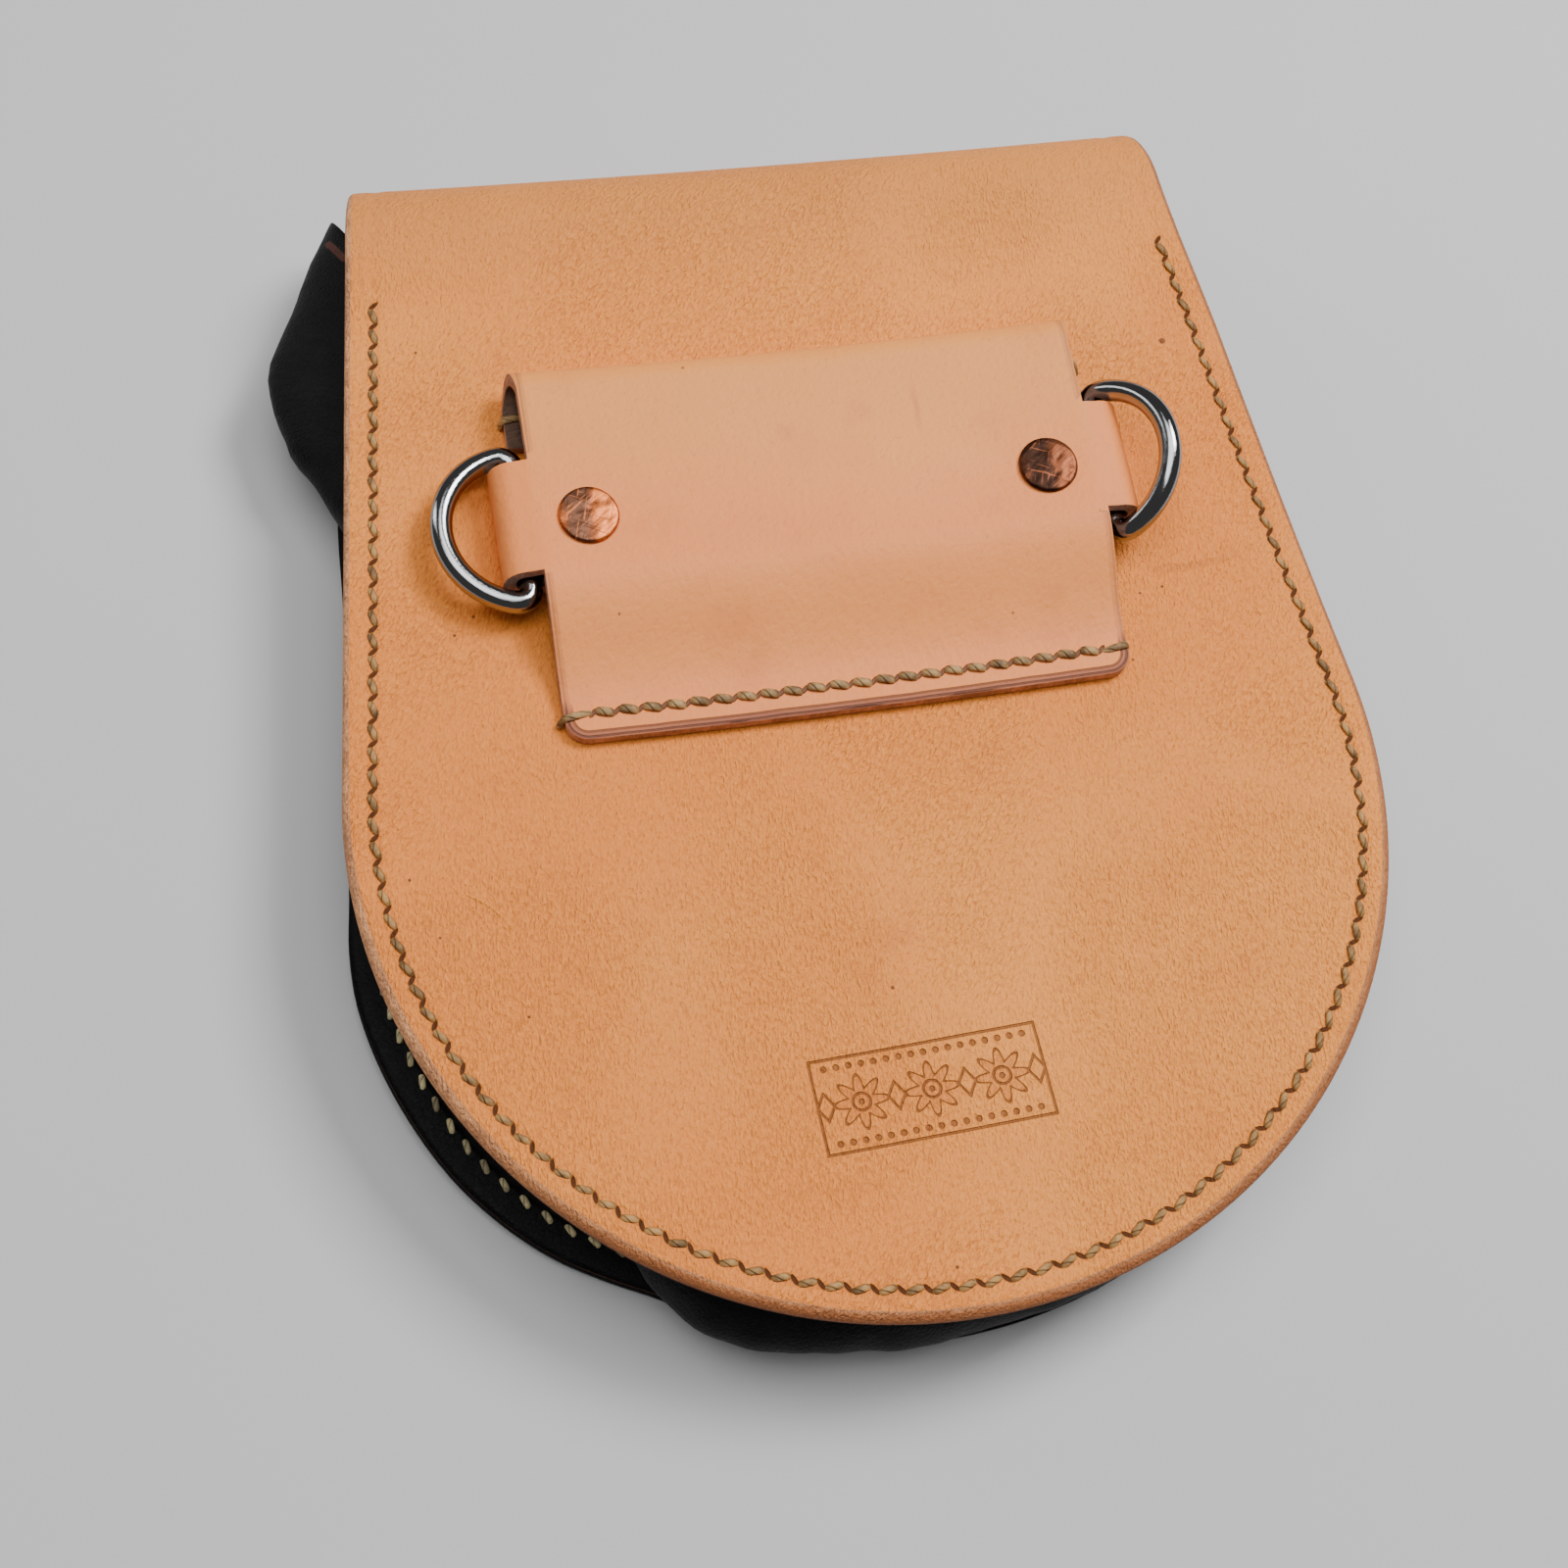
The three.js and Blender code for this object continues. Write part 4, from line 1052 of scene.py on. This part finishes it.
for hand in (-1, 1):
    hole_x, hole_y = LOOP_X + hand * (LOOP_HALF + 0.7) - 0.3, LOOP_STITCHED - 0.6 + 1.0 * hand
    hole = (hole_x, hole_y, back_top(hole_x, hole_y) - 0.3)
    edge_top = on_loop(hand * (LOOP_HALF + 0.35), LOOP_STITCHED - 0.1 + 0.5 * hand, GAP + LOOP_LEATHER + 0.9)
    inner = on_loop(hand * (LOOP_HALF - 5.4), LOOP_STITCHED + 0.35 * -hand, GAP + LOOP_LEATHER - 0.3)
    corded(loop_sewing, bent_skin((hole, edge_top, inner), 1.5, 1.1), 7.5, steps=14)
    under_x, under_y = LOOP_X + hand * (LOOP_UNDER_HALF + 0.9), LOOP_FOLD - 2.6
    hole = (under_x, under_y, back_top(under_x, under_y) - 0.3)
    edge_top = on_loop(hand * (LOOP_UNDER_HALF + 0.3), LOOP_FOLD - 2.0, GAP + LOOP_LEATHER + 0.8)
    inner = on_loop(hand * (LOOP_UNDER_HALF - 4.0), LOOP_FOLD - 1.4, GAP + LOOP_LEATHER - 0.2)
    corded(loop_sewing, bent_skin((hole, edge_top, inner), 1.5, 1.0), 7.0, steps=14)
lay(closed(loop_sewing), "loop_stitches", [loop_thread])


# Rings
# Bright chromed wire bent to a D, its ends butted in the middle of the straight bar. The bar
# turns in the tab, so each ring swings up and down.
RING_CORNER, RING_SPLIT = 2.6, 0.3
BOW = (RING_INNER + WIRE) / 2
chrome = Finish("chromed_wire", Metallic=1.0)
scuff = chrome.clouds(chrome.here(turn=30, stretch=(1.0, 6.0, 1.0)), 900.0, 4.0, 0.7)
tone = chrome.clouds(chrome.here(), 120.0, 2.0)
shine = chrome.blend(srgb(140, 141, 143), srgb(172, 172, 174), tone)
chrome.set(Base_Color=shine, Roughness=0.07 + 0.12 * scuff.between(0.55, 0.8),
           Normal=chrome.relief(scuff, 0.00002))


def ring_place(hand, stands):
    """Where a ring goes: its bar in the tab, standing up from level by so many degrees."""
    bar = on_loop(hand * BAR_X, TAB_Y, BAR_HEIGHT)
    barway = (on_loop(hand * BAR_X, TAB_Y + 1, BAR_HEIGHT) - bar).normalized() * hand
    up = Vector((hand, 0, 0)).cross(barway).normalized()
    outwards = barway.cross(up)
    basis = Matrix((outwards, barway, up)).transposed()
    return Matrix.Translation(bar) @ (basis @ Matrix.Rotation(-math.radians(stands), 3, "Y")).to_4x4()


def bent_wire():
    """The wire is drawn out along the bar, round one corner, round the bow and back."""
    wire = bmesh.new()
    face_on = Matrix.Translation((0, RING_SPLIT / 2, 0)) @ Matrix.Rotation(math.pi / 2, 4, "X")
    bmesh.ops.create_circle(wire, cap_ends=False, segments=24, radius=WIRE_RADIUS, matrix=face_on)
    corner_y = math.sqrt((BOW - RING_CORNER) ** 2 - RING_CORNER ** 2)
    lean = math.atan2(RING_CORNER, corner_y)
    end = list(wire.edges)

    def only(kind, drawn):
        return [part for part in drawn if isinstance(part, kind)]

    def straight(end, distance):
        drawn = bmesh.ops.extrude_edge_only(wire, edges=end)["geom"]
        bmesh.ops.translate(wire, verts=only(bmesh.types.BMVert, drawn), vec=(0, distance, 0))
        return only(bmesh.types.BMEdge, drawn)

    def bend(end, centre, angle, steps):
        drawn = bmesh.ops.spin(wire, geom=end, cent=centre, axis=(0, 0, -1), angle=angle, steps=steps,
                               use_merge=False)
        return only(bmesh.types.BMEdge, drawn["geom_last"])

    bmesh.ops.holes_fill(wire, edges=end)
    end = straight(end, corner_y - RING_SPLIT / 2)
    end = bend(end, (RING_CORNER, corner_y, 0), math.pi / 2 + lean, 14)
    end = bend(end, (0, 0, 0), math.pi - 2 * lean, 64)
    end = bend(end, (RING_CORNER, -corner_y, 0), math.pi / 2 + lean, 14)
    end = straight(end, corner_y - RING_SPLIT / 2)
    bmesh.ops.holes_fill(wire, edges=end)
    return wire


for name, hand, stands in (("left", -1, 8), ("right", 1, 45)):
    wire = closed(bent_wire())
    bmesh.ops.transform(wire, matrix=ring_place(hand, stands), verts=wire.verts)
    lay(wire, "ring_" + name, [chrome], body="d_ring_" + name, stands_for=["d_ring_" + name])


# Rivets
# Copper rivets hold each tab under the band. The flat head has been hammered and is scuffed;
# the shank is peened over a small burr underneath.
RIVET_INSET, RIVET_DROP, RIVET_HEAD, RIVET_SHANK, RIVET_BURR = 9.4, 1.2, 11.1, 3.4, 8.2


def rivet_place(hand):
    spot = on_loop(hand * (LOOP_HALF - RIVET_INSET), TAB_Y - RIVET_DROP, LOOP_RISE)
    across = back_top(spot.x + 0.5, spot.y) - back_top(spot.x - 0.5, spot.y)
    up = back_top(spot.x, spot.y + 0.5) - back_top(spot.x, spot.y - 0.5)
    normal = Vector((-across, -up, 1)).normalized()
    return Matrix.Translation(spot) @ Vector((0, 0, 1)).rotation_difference(normal).to_matrix().to_4x4()


def turned_rivet(seed):
    under = -(2 * LOOP_LEATHER + GAP) - GAP
    head, shank, burr = RIVET_HEAD / 2, RIVET_SHANK / 2, RIVET_BURR / 2
    profile = [(0, under - 1.4), (0.6 * shank, under - 1.38), (0.95 * shank, under - 1.2),
               (shank, under - 1.0), (burr - 0.3, under - 1.0), (burr, under - 0.8), (burr, under - 0.2),
               (burr - 0.2, under), (shank, under), (shank, 0.02), (head - 0.25, 0.02), (head - 0.05, 0.12),
               (head, 0.32), (head - 0.14, 0.62), (head - 0.5, 0.8)]
    profile += [((head - 0.5) * (1 - k / 12), 0.8 + 0.2 * (1 - (1 - k / 12) ** 2)) for k in range(1, 13)]
    rivet = bmesh.new()
    line = [rivet.verts.new((x, 0, z)) for x, z in profile]
    edges = [rivet.edges.new(pair) for pair in zip(line, line[1:])]
    bmesh.ops.spin(rivet, geom=line + edges, cent=(0, 0, 0), axis=(0, 0, 1), angle=2 * math.pi, steps=64,
                   use_merge=True)
    closed(rivet)
    for vert in rivet.verts:
        if vert.co.z > 0.1:
            blows = noise.noise(Vector((vert.co.x * 0.55, vert.co.y * 0.55, seed))) * 0.2
            blows += noise.noise(Vector((vert.co.x * 1.5, vert.co.y * 1.5, seed + 5))) * 0.06
            outline = 1 + 0.012 * noise.noise(Vector((math.atan2(vert.co.y, vert.co.x) * 1.3, seed, 0)))
            vert.co.x, vert.co.y = vert.co.x * outline, vert.co.y * outline
            vert.co.z += (blows - 0.05) * eased(vert.co.z, 0.4, 0.9)
    return rivet


SCRATCH_DARK = srgb(40, 20, 12)
# The dull line is the darker line of the painted reflection between the bright sides of each head.
SHADED_LINE_LEFT = 1.8178  # mm that the dull line lies to the left of the head's middle
# each head's lit and shaded copper of the painted reflection, and the colour of its painted glints
COPPERS = [("left", -1, srgb(142, 76, 44), srgb(104, 70, 54), srgb(236, 136, 74)),
           ("right", 1, srgb(66, 40, 29), srgb(50, 33, 26), srgb(142, 82, 54))]


def hammered_copper(name, shaded_x, lit_copper, shaded_copper, painted_glint):
    """Copper with fine scratches and a painted reflection, darker along the given x in the part's frame and
    bright to both sides.
    """
    finish = Finish(name, Metallic=1.0)
    east, _ = finish.from_spot(shaded_x)
    blotch = finish.clouds(finish.here(), 330.0, 5.0, 0.65, 0.6)
    strokes = [finish.clouds(finish.here(turn=turn, stretch=(1.0, 12.0, 1.0)), 170.0, 2.0, 0.5, 0.2)
               for turn in (38, -24, 71)]
    lightest = strokes[0].most(strokes[1]).most(strokes[2])
    darkest = strokes[0].least(strokes[1]).least(strokes[2])
    # painted reflection: bright to both sides of the head, darker along the line between
    reflecting_sides = east.size().between(0.6, 4.4)
    shade = finish.blend(shaded_copper, lit_copper, (reflecting_sides + (blotch - 0.5) * 1.6).between(0.15, 0.7))
    shade = finish.blend(shade, painted_glint, (reflecting_sides + (blotch - 0.5) * 1.8).between(0.5, 1.0) * 0.6)
    # painted glints along some scratches
    shade = finish.blend(shade, painted_glint, lightest.between(0.63, 0.69) * 0.55)
    shade = finish.blend(shade, SCRATCH_DARK, darkest.between(0.37, 0.31) * 0.5)
    finish.set(Base_Color=shade, Roughness=0.36 + 0.2 * blotch,
               Normal=finish.relief(blotch + strokes[0] * 0.5, 0.0001))
    return finish


for name, hand, lit_copper, shaded_copper, painted_glint in COPPERS:
    rivet, place = turned_rivet(3.0 + hand), rivet_place(hand)
    bmesh.ops.transform(rivet, matrix=place, verts=rivet.verts)
    shaded_x = place.translation.x + SHIFT.x - SHADED_LINE_LEFT
    copper = hammered_copper("copper_" + name, shaded_x, lit_copper, shaded_copper, painted_glint)
    lay(rivet, "rivet_head_" + name, [copper], stands_for=["rivet_" + name])
